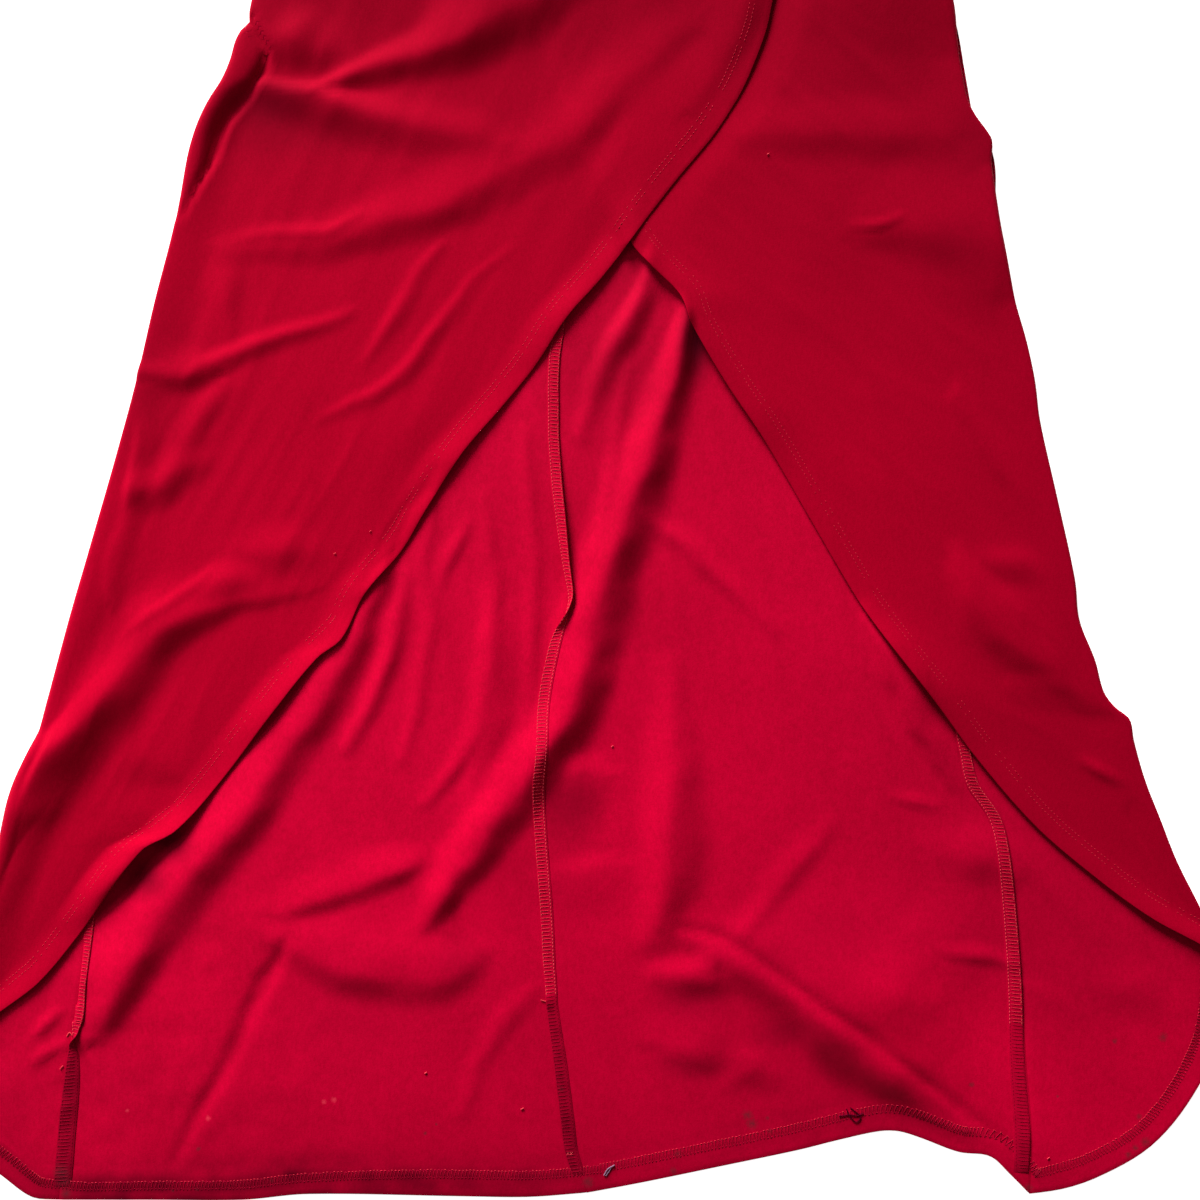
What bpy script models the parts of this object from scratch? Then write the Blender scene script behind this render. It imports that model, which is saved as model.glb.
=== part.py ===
"""Maxi dress with a wrapped front skirt, laid flat on its back, in metres with +Z up.

+Y runs from the hem to the neck and +X to the wearer's left. Places on the cloth are in millimetres as
(across, drop): across from the centre back at the waist, drop below the waist seam. The bottom layer is
the back and the two strips of the front skirt that wrap round the side folds. The underlap lies on it,
and the overlap lies on both.
"""
import math
from collections import namedtuple

import bmesh
import bpy
from mathutils import Vector

MM = 0.001

WALL = 1.2            # cloth thickness of each panel
SEAM_GAP = 0.3        # between panels that are sewn together or lie on each other
CELL = 26.0           # longest step between two sections
CLOSE_LEVELS = 0.011  # sections nearer than this part of the skirt's length are one
FOLD_STEPS = 4        # facets round each side fold
WRAP_CELLS = 3        # cells across the strip that wraps beneath
FRONT_CELLS = 13      # cells across the top layer of a front panel
BACK_CELLS = 11       # cells across each back panel
TIP_CUT = 8.0         # how far above a fold's tip the front edge stops

BACK_Z = WALL / 2
UNDER_Z = BACK_Z + WALL + SEAM_GAP
OVER_Z = UNDER_Z + WALL + SEAM_GAP

RIGHT_TIP_DROP = 965.0
LEFT_TIP_DROP = 885.0

# Where each line of the skirt lies at each section below the waist seam, across in millimetres.
# A front edge and its side fold end where they meet, at the tip of the fold.
Section = namedtuple("Section", "drop right_fold over_edge right_seam back_seam left_seam under_edge left_fold")
SECTIONS = [
    Section(0, -190, 175, -184, 0, 184, -80, 190),
    Section(140, -216, 148, -207, -7, 222, -46, 230),
    Section(213, -233, 131, -226, -10, 247, -27, 255),
    Section(242, -245, 124, -232, -11, 252, -18, 259),
    Section(261, -248, 116, -236, -12, 254, -13, 263),
    Section(286, -265, 104, -243, -12, 257, -5, 269),
    Section(311, -275, 87, -249, -13, 259, 5, 285),
    Section(345, -279, 59, -256, -14, 261, 18, 287),
    Section(383, -290, 31, -264, -15, 262, 33, 292),
    Section(440, -305, -16, -279, -15, 262, 75, 307),
    Section(505, -320, -65, -295, -22, 259, 115, 318),
    Section(570, -338, -112, -311, -17, 255, 154, 332),
    Section(633, -357, -157, -325, -11, 252, 192, 344),
    Section(675, -369, -189, -332, -22, 253, 224, 358),
    Section(701, -375, -210, -336, -28, 256, 245, 364),
    Section(716, -378, -222, -338, -29, 258, 257, 380),
    Section(760, -397, -256, -342, -33, 269, 291, 394),
    Section(805, -410, -306, -346, -31, 297, 335, 410),
    Section(850, -423, -343, -350, -27, 302, 392, 430),
    Section(885, -435, -370, -353, -25, 305, 449, 449),
    Section(925, -451, -413, -359, -23, 308, None, None),
    Section(965, -467, -467, -362, -17, 310, None, None),
    Section(1010, None, None, -366, -10, 313, None, None),
    Section(1048, None, None, -369, 1, 312, None, None),
]

# The hem, from each panel's first seam to its second seam or to the tip of the fold.
HemPoint = namedtuple("HemPoint", "across drop")
HEMS = {
    "skirt_front_right": [HemPoint(-369, 1053), HemPoint(-388, 1051), HemPoint(-409, 1036),
                          HemPoint(-433, 1018), HemPoint(-452, 1003), HemPoint(-464, 986),
                          HemPoint(-467, 965)],
    "skirt_back_right": [HemPoint(-369, 1053), HemPoint(-302, 1052), HemPoint(-195, 1049),
                         HemPoint(-88, 1051), HemPoint(1, 1048)],
    "skirt_back_left": [HemPoint(1, 1048), HemPoint(64, 1036), HemPoint(118, 1025), HemPoint(171, 1013),
                        HemPoint(214, 1005), HemPoint(251, 1016), HemPoint(279, 1021),
                        HemPoint(298, 1038), HemPoint(312, 1049)],
    "skirt_front_left": [HemPoint(312, 1049), HemPoint(337, 1045), HemPoint(359, 1037),
                         HemPoint(391, 1020), HemPoint(412, 1000), HemPoint(431, 972),
                         HemPoint(443, 945), HemPoint(449, 913), HemPoint(449, 885)],
}

# The largest folds of each layer: a ridge along start, middle and end, each as (across, drop).
Ridge = namedtuple("Ridge", "layer start middle end width height")
RIDGES = [
    Ridge("back", (70, 425), (34, 560), (2, 705), 44, 9),
    Ridge("back", (0, 680), (-30, 750), (-106, 850), 44, 8),
    Ridge("back", (68, 870), (160, 920), (246, 994), 50, 10),
    Ridge("back", (-140, 620), (-225, 750), (-342, 928), 48, 7),
    Ridge("back", (57, 690), (68, 780), (49, 862), 40, 6),
    Ridge("back", (-228, 858), (-145, 925), (-66, 866), 46, 5),
    Ridge("over", (-198, 630), (-330, 650), (-432, 846), 62, 8),
    Ridge("over", (-187, 272), (-80, 250), (20, 186), 60, 6),
    Ridge("over", (-246, 276), (-170, 284), (-70, 312), 44, 5),
    Ridge("over", (-245, 387), (-100, 376), (62, 238), 50, 4),
    Ridge("over", (-277, 476), (-215, 448), (-164, 433), 46, 3),
    Ridge("over", (-314, 480), (-308, 550), (-332, 630), 40, 3),
    Ridge("under", (112, 305), (190, 308), (254, 306), 54, 3),
    Ridge("under", (200, 374), (246, 370), (290, 382), 64, 6),
    Ridge("under", (260, 612), (274, 668), (356, 698), 52, 5),
    Ridge("bodice", (-212, -150), (-130, -190), (-40, -170), 60, 4),
    Ridge("bodice", (214, -140), (150, -120), (60, -60), 60, 4),
    Ridge("bodice", (-150, -300), (-120, -235), (-110, -120), 50, 3),
]

# Bodice, finished plainly. One side, from the waist seam by the side seam and the armhole to the shoulder.
BodicePoint = namedtuple("BodicePoint", "across up")
BODICE_SIDE = [
    BodicePoint(190, 0),
    BodicePoint(203, 60),
    BodicePoint(219, 115),
    BodicePoint(230, 165),
    BodicePoint(229, 196),
    BodicePoint(203, 207),
    BodicePoint(183, 232),
    BodicePoint(172, 270),
    BodicePoint(169, 310),
    BodicePoint(173, 345),
    BodicePoint(180, 375),
]
NECK_HALF = 100.0
NECK_UP = 399.0
FRONT_NECK_DEPTH = 80.0
BACK_NECK_DEPTH = 25.0
NECK_ROUNDNESS = 0.8
SHOULDER_CELLS = 2
NECK_CELLS = 10
BODICE_ROWS = 14
WAIST_BLEND = 60.0    # over this height the front bodice settles down from the waist seam

OUTER_COLOUR = (0.36, 0.003, 0.016, 1.0)
INNER_COLOUR = (0.50, 0.005, 0.028, 1.0)
CLOTH_ROUGHNESS = 0.85

MID_ACROSS = (SECTIONS[21].right_fold + SECTIONS[19].left_fold) / 2
MID_DROP = (HEMS["skirt_back_right"][0].drop - NECK_UP) / 2


def clear_scene():
    for item in list(bpy.data.objects):
        bpy.data.objects.remove(item, do_unlink=True)


def smooth_step(value):
    value = min(1.0, max(0.0, value))
    return value * value * (3 - 2 * value)


def hermite(start, end, start_slope, end_slope, part):
    square, cube = part * part, part * part * part
    return (start * (2 * cube - 3 * square + 1) + end * (3 * square - 2 * cube)
            + start_slope * (cube - 2 * square + part) + end_slope * (cube - square))


def line_across(column):
    """The place across of one of the skirt's lines, as a smooth function of the drop."""
    rows = [(row.drop, getattr(row, column)) for row in SECTIONS if getattr(row, column) is not None]
    last = len(rows) - 1

    def slope(index):
        before, after = rows[max(0, index - 1)], rows[min(last, index + 1)]
        return (after[1] - before[1]) / (after[0] - before[0])

    def across(drop):
        if drop > rows[last][0]:
            return rows[last][1] + slope(last) * (drop - rows[last][0])
        index = 0
        while index < last - 1 and drop > rows[index + 1][0]:
            index += 1
        (drop_a, across_a), (drop_b, across_b) = rows[index], rows[index + 1]
        span = drop_b - drop_a
        return hermite(across_a, across_b, span * slope(index), span * slope(index + 1),
                       (drop - drop_a) / span)

    return across


LINES = {name: line_across(name) for name in Section._fields[1:]}


def seam_line(column, last_drop, shift=0.0):
    """One side of a patch: a line of the skirt from the waist (0) to its last drop (1)."""
    return lambda part: (LINES[column](part * last_drop) + shift, part * last_drop)


def along(points):
    """One side of a patch: a smooth curve through points, taken by its length from 0 to 1."""
    lengths = [0.0]
    for first, second in zip(points, points[1:]):
        lengths.append(lengths[-1] + math.dist(first, second))
    last = len(points) - 1

    def slope(index, axis):
        before, after = max(0, index - 1), min(last, index + 1)
        return (points[after][axis] - points[before][axis]) / (lengths[after] - lengths[before])

    def place(part):
        reach = part * lengths[-1]
        index = 0
        while index < last - 1 and reach > lengths[index + 1]:
            index += 1
        span = lengths[index + 1] - lengths[index]
        share = (reach - lengths[index]) / span
        return tuple(hermite(points[index][axis], points[index + 1][axis],
                             span * slope(index, axis), span * slope(index + 1, axis), share)
                     for axis in (0, 1))

    return place


def patch_point(first_side, second_side, top, bottom, u, v):
    """The point of a four-sided patch whose sides are curves, at u across and v down."""
    corners = (first_side(0), second_side(0), first_side(1), second_side(1))
    place = []
    for axis in (0, 1):
        sides = (1 - u) * first_side(v)[axis] + u * second_side(v)[axis]
        ends = (1 - v) * top(u)[axis] + v * bottom(u)[axis]
        bare = ((1 - v) * ((1 - u) * corners[0][axis] + u * corners[1][axis])
                + v * ((1 - u) * corners[2][axis] + u * corners[3][axis]))
        place.append(sides + ends - bare)
    return tuple(place)


def ridge_height(ridge, across, drop):
    """Height of one fold: a soft round ridge along its curve, dying out at both ends."""
    steps = 12
    nearest, part = None, 0.0
    for step in range(steps + 1):
        t = step / steps
        curve = [(1 - t) ** 2 * a + 2 * t * (1 - t) * b + t * t * c
                 for a, b, c in zip(ridge.start, ridge.middle, ridge.end)]
        distance = math.dist(curve, (across, drop))
        if nearest is None or distance < nearest:
            nearest, part = distance, t
    side = max(0.0, 1 - nearest / ridge.width)
    return ridge.height * smooth_step(side) * (0.35 + 0.65 * math.sin(math.pi * part))


def folds(layer, across, drop):
    return sum(ridge_height(ridge, across, drop) for ridge in RIDGES if ridge.layer == layer)


def open_share(across, drop):
    """1 well inside the open front of the skirt, falling to 0 before the front edges."""
    margin = min(across - LINES["over_edge"](min(drop, RIGHT_TIP_DROP)),
                 LINES["under_edge"](min(drop, LEFT_TIP_DROP)) - across)
    if drop > LEFT_TIP_DROP:
        margin = across - LINES["over_edge"](min(drop, RIGHT_TIP_DROP))
    return smooth_step((margin - CELL) / CELL)


def back_z(across, drop):
    return BACK_Z + folds("back", across, drop) * open_share(across, drop)


def under_z(across, drop):
    clear = across - LINES["over_edge"](min(drop, RIGHT_TIP_DROP))
    return UNDER_Z + folds("under", across, drop) * smooth_step((clear - CELL) / CELL)


def over_z(across, drop):
    return OVER_Z + folds("over", across, drop)


def skirt_levels():
    """Parts of the way down at which every skirt panel has a section, so that sewn sides match."""
    wanted = {row.drop / LEFT_TIP_DROP for row in SECTIONS if row.left_fold is not None}
    wanted |= {row.drop / RIGHT_TIP_DROP for row in SECTIONS if row.right_fold is not None}
    kept = []
    for part in sorted(wanted):
        if not kept or part - kept[-1] > CLOSE_LEVELS:
            kept.append(part)
    kept[-1] = 1.0
    parts = [0.0]
    for first, second in zip(kept, kept[1:]):
        count = math.ceil((second - first) * RIGHT_TIP_DROP / CELL)
        parts += [first + (second - first) * step / count for step in range(1, count + 1)]
    return parts


LEVELS = skirt_levels()


def cloth_panel(name, rows, colour):
    """A wall of cloth about a grid of points on its middle surface."""
    down, wide = len(rows), len(rows[0])
    mesh = bpy.data.meshes.new(name)
    shell = bmesh.new()
    faces_up, faces_down = [], []
    for j in range(down):
        up_row, down_row = [], []
        for i in range(wide):
            along_row = rows[j][min(i + 1, wide - 1)] - rows[j][max(i - 1, 0)]
            along_column = rows[min(j + 1, down - 1)][i] - rows[max(j - 1, 0)][i]
            normal = along_row.cross(along_column).normalized() * (WALL / 2)
            up_row.append(shell.verts.new((rows[j][i] + normal) * MM))
            down_row.append(shell.verts.new((rows[j][i] - normal) * MM))
        faces_up.append(up_row)
        faces_down.append(down_row)
    for j in range(down - 1):
        for i in range(wide - 1):
            for grid in (faces_up, faces_down):
                shell.faces.new((grid[j][i], grid[j][i + 1], grid[j + 1][i + 1], grid[j + 1][i]))
    border = [(0, i) for i in range(wide - 1)] + [(j, wide - 1) for j in range(down - 1)]
    border += [(down - 1, i) for i in range(wide - 1, 0, -1)] + [(j, 0) for j in range(down - 1, 0, -1)]
    for (j, i), (next_j, next_i) in zip(border, border[1:] + border[:1]):
        shell.faces.new((faces_up[j][i], faces_up[next_j][next_i],
                         faces_down[next_j][next_i], faces_down[j][i]))
    bmesh.ops.recalc_face_normals(shell, faces=shell.faces)
    shell.to_mesh(mesh)
    shell.free()
    mesh.shade_smooth()
    mesh.set_sharp_from_angle(angle=math.radians(50))
    mesh.materials.append(cloth_material(name + "_cloth", colour))
    panel = bpy.data.objects.new(name, mesh)
    bpy.context.scene.collection.objects.link(panel)
    panel.location = Vector((-MID_ACROSS, MID_DROP, 0)) * MM
    return panel


def cloth_material(name, colour):
    material = bpy.data.materials.new(name)
    material.use_nodes = True
    shader = material.node_tree.nodes["Principled BSDF"]
    shader.inputs["Base Color"].default_value = colour
    shader.inputs["Roughness"].default_value = CLOTH_ROUGHNESS
    shader.inputs["Metallic"].default_value = 0.0
    return material


def front_panel(name, side, top_z, height_of, tip_drop, columns):
    """A front of the skirt: from its side seam beneath, round the side fold, to its free edge on top.

    side is -1 for the wearer's right and 1 for the left.
    """
    seam, fold, edge = columns
    roll = (top_z - BACK_Z) / 2
    hem = HEMS[name]
    gap = side * SEAM_GAP / 2
    inset = -side * roll
    seam_side = seam_line(seam, hem[0].drop, gap)
    fold_side = seam_line(fold, tip_drop, inset)
    edge_side = seam_line(edge, tip_drop - TIP_CUT)
    hem_inset = [(point.across + inset * index / (len(hem) - 1), point.drop)
                 for index, point in enumerate(hem)]
    hem_inset[0] = seam_side(1)
    wrap_top = along([seam_side(0), fold_side(0)])
    front_top = along([fold_side(0), edge_side(0)])
    wrap_bottom = along(hem_inset)
    front_bottom = along([fold_side(1), edge_side(1)])
    rows = []
    for v in LEVELS:
        row = []
        for cell in range(WRAP_CELLS):
            across, drop = patch_point(seam_side, fold_side, wrap_top, wrap_bottom, cell / WRAP_CELLS, v)
            row.append(Vector((across, -drop, BACK_Z)))
        across, drop = fold_side(v)
        lift = height_of(across, drop) - top_z
        for step in range(FOLD_STEPS):
            turn = math.pi * step / FOLD_STEPS
            row.append(Vector((across + side * roll * math.sin(turn), -drop,
                               BACK_Z + (roll + lift / 2) * (1 - math.cos(turn)))))
        for cell in range(FRONT_CELLS + 1):
            across, drop = patch_point(fold_side, edge_side, front_top, front_bottom,
                                       cell / FRONT_CELLS, v)
            row.append(Vector((across, -drop, height_of(across, drop))))
        rows.append(row)
    return cloth_panel(name, rows, OUTER_COLOUR)


def back_panel(name, columns):
    """Half of the back of the skirt, flat on the surface, between two seams."""
    hem = HEMS[name]
    first = seam_line(columns[0], hem[0].drop, SEAM_GAP / 2)
    second = seam_line(columns[1], hem[-1].drop, -SEAM_GAP / 2)
    top = along([first(0), second(0)])
    bottom = along([first(1)] + [tuple(point) for point in hem[1:-1]] + [second(1)])
    rows = []
    for v in LEVELS:
        row = []
        for cell in range(BACK_CELLS + 1):
            across, drop = patch_point(first, second, top, bottom, cell / BACK_CELLS, v)
            row.append(Vector((across, -drop, back_z(across, drop))))
        rows.append(row)
    return cloth_panel(name, rows, INNER_COLOUR)


def bodice_side(side):
    """Side seam and armhole, from the waist up to the shoulder point."""
    chain = [(side * point.across, -point.up) for point in BODICE_SIDE]
    chain[0] = (chain[0][0], -SEAM_GAP)
    return along(chain)


def neck_line(depth):
    """The top of a bodice panel from shoulder point to shoulder point, by its cells."""
    shoulder = BODICE_SIDE[-1]
    slope = []
    for step in range(SHOULDER_CELLS):
        share = step / SHOULDER_CELLS
        slope.append((shoulder.across + (NECK_HALF - shoulder.across) * share,
                      -shoulder.up - (NECK_UP - shoulder.up) * share))
    curve = []
    for step in range(NECK_CELLS + 1):
        turn = math.pi * step / NECK_CELLS
        curve.append((-NECK_HALF * math.cos(turn), -NECK_UP + depth * math.sin(turn) ** NECK_ROUNDNESS))
    points = [(-across, drop) for across, drop in slope] + curve + slope[::-1]
    return lambda part: points[round(part * (len(points) - 1))]


def bodice_panel(name, depth, height_of):
    """A bodice panel from the waist seam to the shoulders, with a round neck and two armholes."""
    cells = 2 * SHOULDER_CELLS + NECK_CELLS
    first, second = bodice_side(-1), bodice_side(1)
    waist = along([first(0), second(0)])
    neck = neck_line(depth)
    rows = []
    for step in range(BODICE_ROWS + 1):
        row = []
        for cell in range(cells + 1):
            across, drop = patch_point(first, second, waist, neck, cell / cells, step / BODICE_ROWS)
            row.append(Vector((across, -drop, height_of(across, drop))))
        rows.append(row)
    return cloth_panel(name, rows, OUTER_COLOUR)


def bodice_front_z(across, drop):
    """On the back bodice, and level with both laps of the skirt at the waist seam."""
    laps = (OVER_Z - UNDER_Z) / 2
    return UNDER_Z + laps * (1 - smooth_step(-drop / WAIST_BLEND)) + folds("bodice", across, drop)


def build():
    clear_scene()
    dress = bpy.data.objects.new("dress", None)
    bpy.context.scene.collection.objects.link(dress)
    panels = [
        front_panel("skirt_front_right", -1, OVER_Z, over_z, RIGHT_TIP_DROP,
                    ("right_seam", "right_fold", "over_edge")),
        front_panel("skirt_front_left", 1, UNDER_Z, under_z, LEFT_TIP_DROP,
                    ("left_seam", "left_fold", "under_edge")),
        back_panel("skirt_back_right", ("right_seam", "back_seam")),
        back_panel("skirt_back_left", ("back_seam", "left_seam")),
        bodice_panel("bodice_front", FRONT_NECK_DEPTH, bodice_front_z),
        bodice_panel("bodice_back", BACK_NECK_DEPTH, lambda across, drop: BACK_Z),
    ]
    for panel in panels:
        panel.parent = dress


build()
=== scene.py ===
import math

import bpy
import numpy as np
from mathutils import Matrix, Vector
from mathutils.bvhtree import BVHTree


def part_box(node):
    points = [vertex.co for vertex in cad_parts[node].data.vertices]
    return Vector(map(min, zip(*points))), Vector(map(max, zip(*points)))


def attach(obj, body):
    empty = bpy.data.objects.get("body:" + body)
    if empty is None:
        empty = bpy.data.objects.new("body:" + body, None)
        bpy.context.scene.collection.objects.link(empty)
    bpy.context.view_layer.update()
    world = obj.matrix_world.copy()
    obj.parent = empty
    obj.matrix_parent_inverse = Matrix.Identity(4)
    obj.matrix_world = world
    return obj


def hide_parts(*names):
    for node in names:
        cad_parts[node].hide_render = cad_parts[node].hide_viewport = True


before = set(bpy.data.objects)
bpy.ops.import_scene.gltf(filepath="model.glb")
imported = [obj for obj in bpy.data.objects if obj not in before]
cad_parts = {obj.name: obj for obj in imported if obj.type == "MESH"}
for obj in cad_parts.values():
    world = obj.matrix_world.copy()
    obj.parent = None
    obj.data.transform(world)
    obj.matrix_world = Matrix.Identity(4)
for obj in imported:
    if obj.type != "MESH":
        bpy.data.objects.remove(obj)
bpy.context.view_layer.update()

mm = 0.001

# Places on the cloth are (across, drop) in millimetres: across from the centre back, drop below the waist.
acrossZero = (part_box("bodice_back")[0][0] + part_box("bodice_back")[1][0]) / 2
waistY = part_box("skirt_back_right")[1][1]


def spotAt(across, drop, height=0.0):
    return Vector((acrossZero + across * mm, waistY - drop * mm, height * mm))


def addObject(name, data):
    made = bpy.data.objects.new(name, data)
    bpy.context.scene.collection.objects.link(made)
    return made


cloth = {
    "wall": 0.6,          # thickness of one layer
    "hemExtra": 0.3,      # what the turned hem adds
    "hemDepth": 18.5,
    "layerGap": 0.15,     # between layers that lie on each other
    "cell": 3.6,          # grid step
    "length": 1050,       # rough length and widths, which set how many cells a panel has
    "backWide": 350,
    "frontWide": 390,
    "wrapWide": 112,
    "rollCells": 10,      # cells round a side fold
    "rightTip": 965.0,    # drop of the tip of each side fold
    "leftTip": 885.0,
}

# The skirt's lines as (drop, across). A front edge and its side fold meet at the tip.
skirtLines = {
    "rightFold": [(0, -190), (140, -216), (213, -233), (227, -236.5), (241, -244), (255, -248), (269, -254),
        (283, -263), (297, -270), (311, -275), (325, -278.5), (353, -283.5), (381, -290), (423, -301),
        (479, -314), (535, -329), (591, -345), (647, -361), (703, -376), (731, -384), (759, -397),
        (787, -404.5), (815, -412), (843, -421), (885, -435), (913, -445), (940, -456), (965, -467)],
    "leftFold": [(0, 190), (140, 231), (213, 255), (241, 260), (269, 265), (283, 268), (293, 273),
        (304, 281), (311, 285), (325, 284.5), (353, 287), (381, 291), (423, 301), (451, 309), (479, 315),
        (507, 318.5), (563, 331), (619, 343), (647, 346), (675, 357), (697, 363), (708, 371), (716, 381),
        (731, 384), (759, 392), (787, 403), (815, 414), (843, 428), (865, 439), (885, 449)],
    "overEdge": [(0, 175), (140, 148), (213, 131), (234, 126.5), (261, 116.5), (280, 107.5), (307, 90),
        (339, 63.5), (363, 45), (381, 32), (409, 10), (435, -13), (470, -36), (500, -60.5), (530, -86),
        (572, -113), (598, -128.5), (623, -150), (633, -157), (661, -171), (673, -187), (711, -218),
        (762, -257), (795, -287), (807, -309), (869, -356), (901, -383), (921, -409.5), (965, -467)],
    "underEdge": [(0, -80), (140, -46), (283, -7), (383, 33), (398, 45.5), (419, 66.5), (440, 75),
        (481, 99), (521, 126), (575, 157.5), (633, 191.5), (662, 212), (708, 248), (745, 275.5),
        (791, 315.5), (825, 355), (855, 396), (873, 429.5), (885, 449)],
    "rightSeam": [(0, -180), (213, -222), (311, -243), (423, -270), (533, -297), (633, -322), (767, -341),
        (867, -351), (910, -355), (937, -360), (976, -363), (1010, -366), (1053, -369)],
    "leftSeam": [(0, 180), (213, 243), (311, 257), (423, 262), (533, 258), (633, 252), (719, 259),
        (744, 263), (762, 269.5), (784, 290.5), (804, 297), (847, 302), (901, 306.5), (954, 309),
        (1008, 313), (1049, 312)],
    "backSeam": [(0, 0), (213, -10), (440, -15.5), (465, -20), (493, -22.5), (542, -19.5), (577, -16.5),
        (619, -12.5), (634, -12), (662, -19.5), (703, -28.5), (738, -31), (766, -33.5), (801, -31.5),
        (843, -28), (864, -26.5), (915, -24), (960, -17.5), (996, -13), (1021, -9.5), (1048, 1.5)],
}

# The hem as (across, drop), from each panel's first seam to its second or to the tip of the side fold.
hems = {
    "rightWrap": [(-369, 1053), (-388, 1051), (-409, 1036), (-433, 1018), (-452, 1003), (-464, 986),
        (-467, 965)],
    "backRight": [(-369, 1053), (-302, 1053), (-240, 1053), (-195, 1049), (-88, 1050.5), (-40, 1051),
        (1.5, 1048)],
    "backLeft": [(1.5, 1048), (39, 1041), (95, 1029.5), (150, 1018), (178, 1011), (206, 1005), (220, 1005),
        (235, 1009.5), (262, 1019.5), (284, 1022.5), (298, 1035), (312, 1049)],
    "leftWrap": [(312, 1049), (337, 1045), (360, 1037), (391, 1020), (412, 1000), (431, 972), (443, 945),
        (449, 913), (449, 885)],
}


# the whole hem in one line, from the tip of the right side fold to the tip of the left
hemLine = hems["rightWrap"][::-1][:-1] + hems["backRight"][:-1] + hems["backLeft"][:-1] + hems["leftWrap"]


def slopes(places, values):
    count = len(places)
    return [(values[min(i + 1, count - 1)] - values[max(i - 1, 0)])
            / (places[min(i + 1, count - 1)] - places[max(i - 1, 0)]) for i in range(count)]


def smoothTable(places, values, steps=8):
    # a smooth curve through the values, sampled closely
    rises = slopes(places, values)
    newPlaces, newValues = [], []
    for i in range(len(places) - 1):
        span = places[i + 1] - places[i]
        for step in range(steps):
            t = step / steps
            newPlaces.append(places[i] + span * t)
            newValues.append(values[i] * (2 * t ** 3 - 3 * t ** 2 + 1)
                             + values[i + 1] * (3 * t ** 2 - 2 * t ** 3)
                             + span * (rises[i] * (t ** 3 - 2 * t ** 2 + t)
                                       + rises[i + 1] * (t ** 3 - t ** 2)))
    newPlaces.append(places[-1])
    newValues.append(values[-1])
    return np.array(newPlaces, float), np.array(newValues, float)


def tableOf(rows):
    # the same, from rows of (place, value)
    return smoothTable([row[0] for row in rows], [row[1] for row in rows])


lineTables = {name: tableOf(rows) for name, rows in skirtLines.items()}


def lineAt(name, drop):
    return np.interp(drop, *lineTables[name])


def runLengths(points):
    # how far along a line of points each one lies
    return np.concatenate([[0], np.cumsum(np.linalg.norm(np.diff(points, axis=0), axis=1))])


def chain(points, parts):
    # a smooth curve through points, at parts of its length
    points = np.array(points, float)
    lengths = runLengths(points)
    columns = []
    for axis in range(points.shape[1]):
        table = smoothTable(list(lengths), list(points[:, axis]))
        columns.append(np.interp(np.asarray(parts) * lengths[-1], *table))
    return np.stack(columns, axis=-1)


def smoothStep(value):
    value = np.clip(value, 0, 1)
    return value * value * (3 - 2 * value)


def softNoise(across, drop, size, seed):
    # gentle unevenness between -1 and 1, size in millimetres
    lattice = np.random.default_rng(seed).uniform(-1, 1, (96, 96))
    x, y = across / size + 40, drop / size + 20
    i, j = np.floor(x).astype(int), np.floor(y).astype(int)
    fx, fy = x - i, y - j
    fx, fy = fx * fx * (3 - 2 * fx), fy * fy * (3 - 2 * fy)

    def at(di, dj):
        return lattice[(i + di) % 96, (j + dj) % 96]

    return (at(0, 0) * (1 - fx) + at(1, 0) * fx) * (1 - fy) + (at(0, 1) * (1 - fx) + at(1, 1) * fx) * fy


def ridge(left, right, *line, sharp=0.2):
    return {"line": line, "left": left, "right": right, "sharp": sharp}


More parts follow.
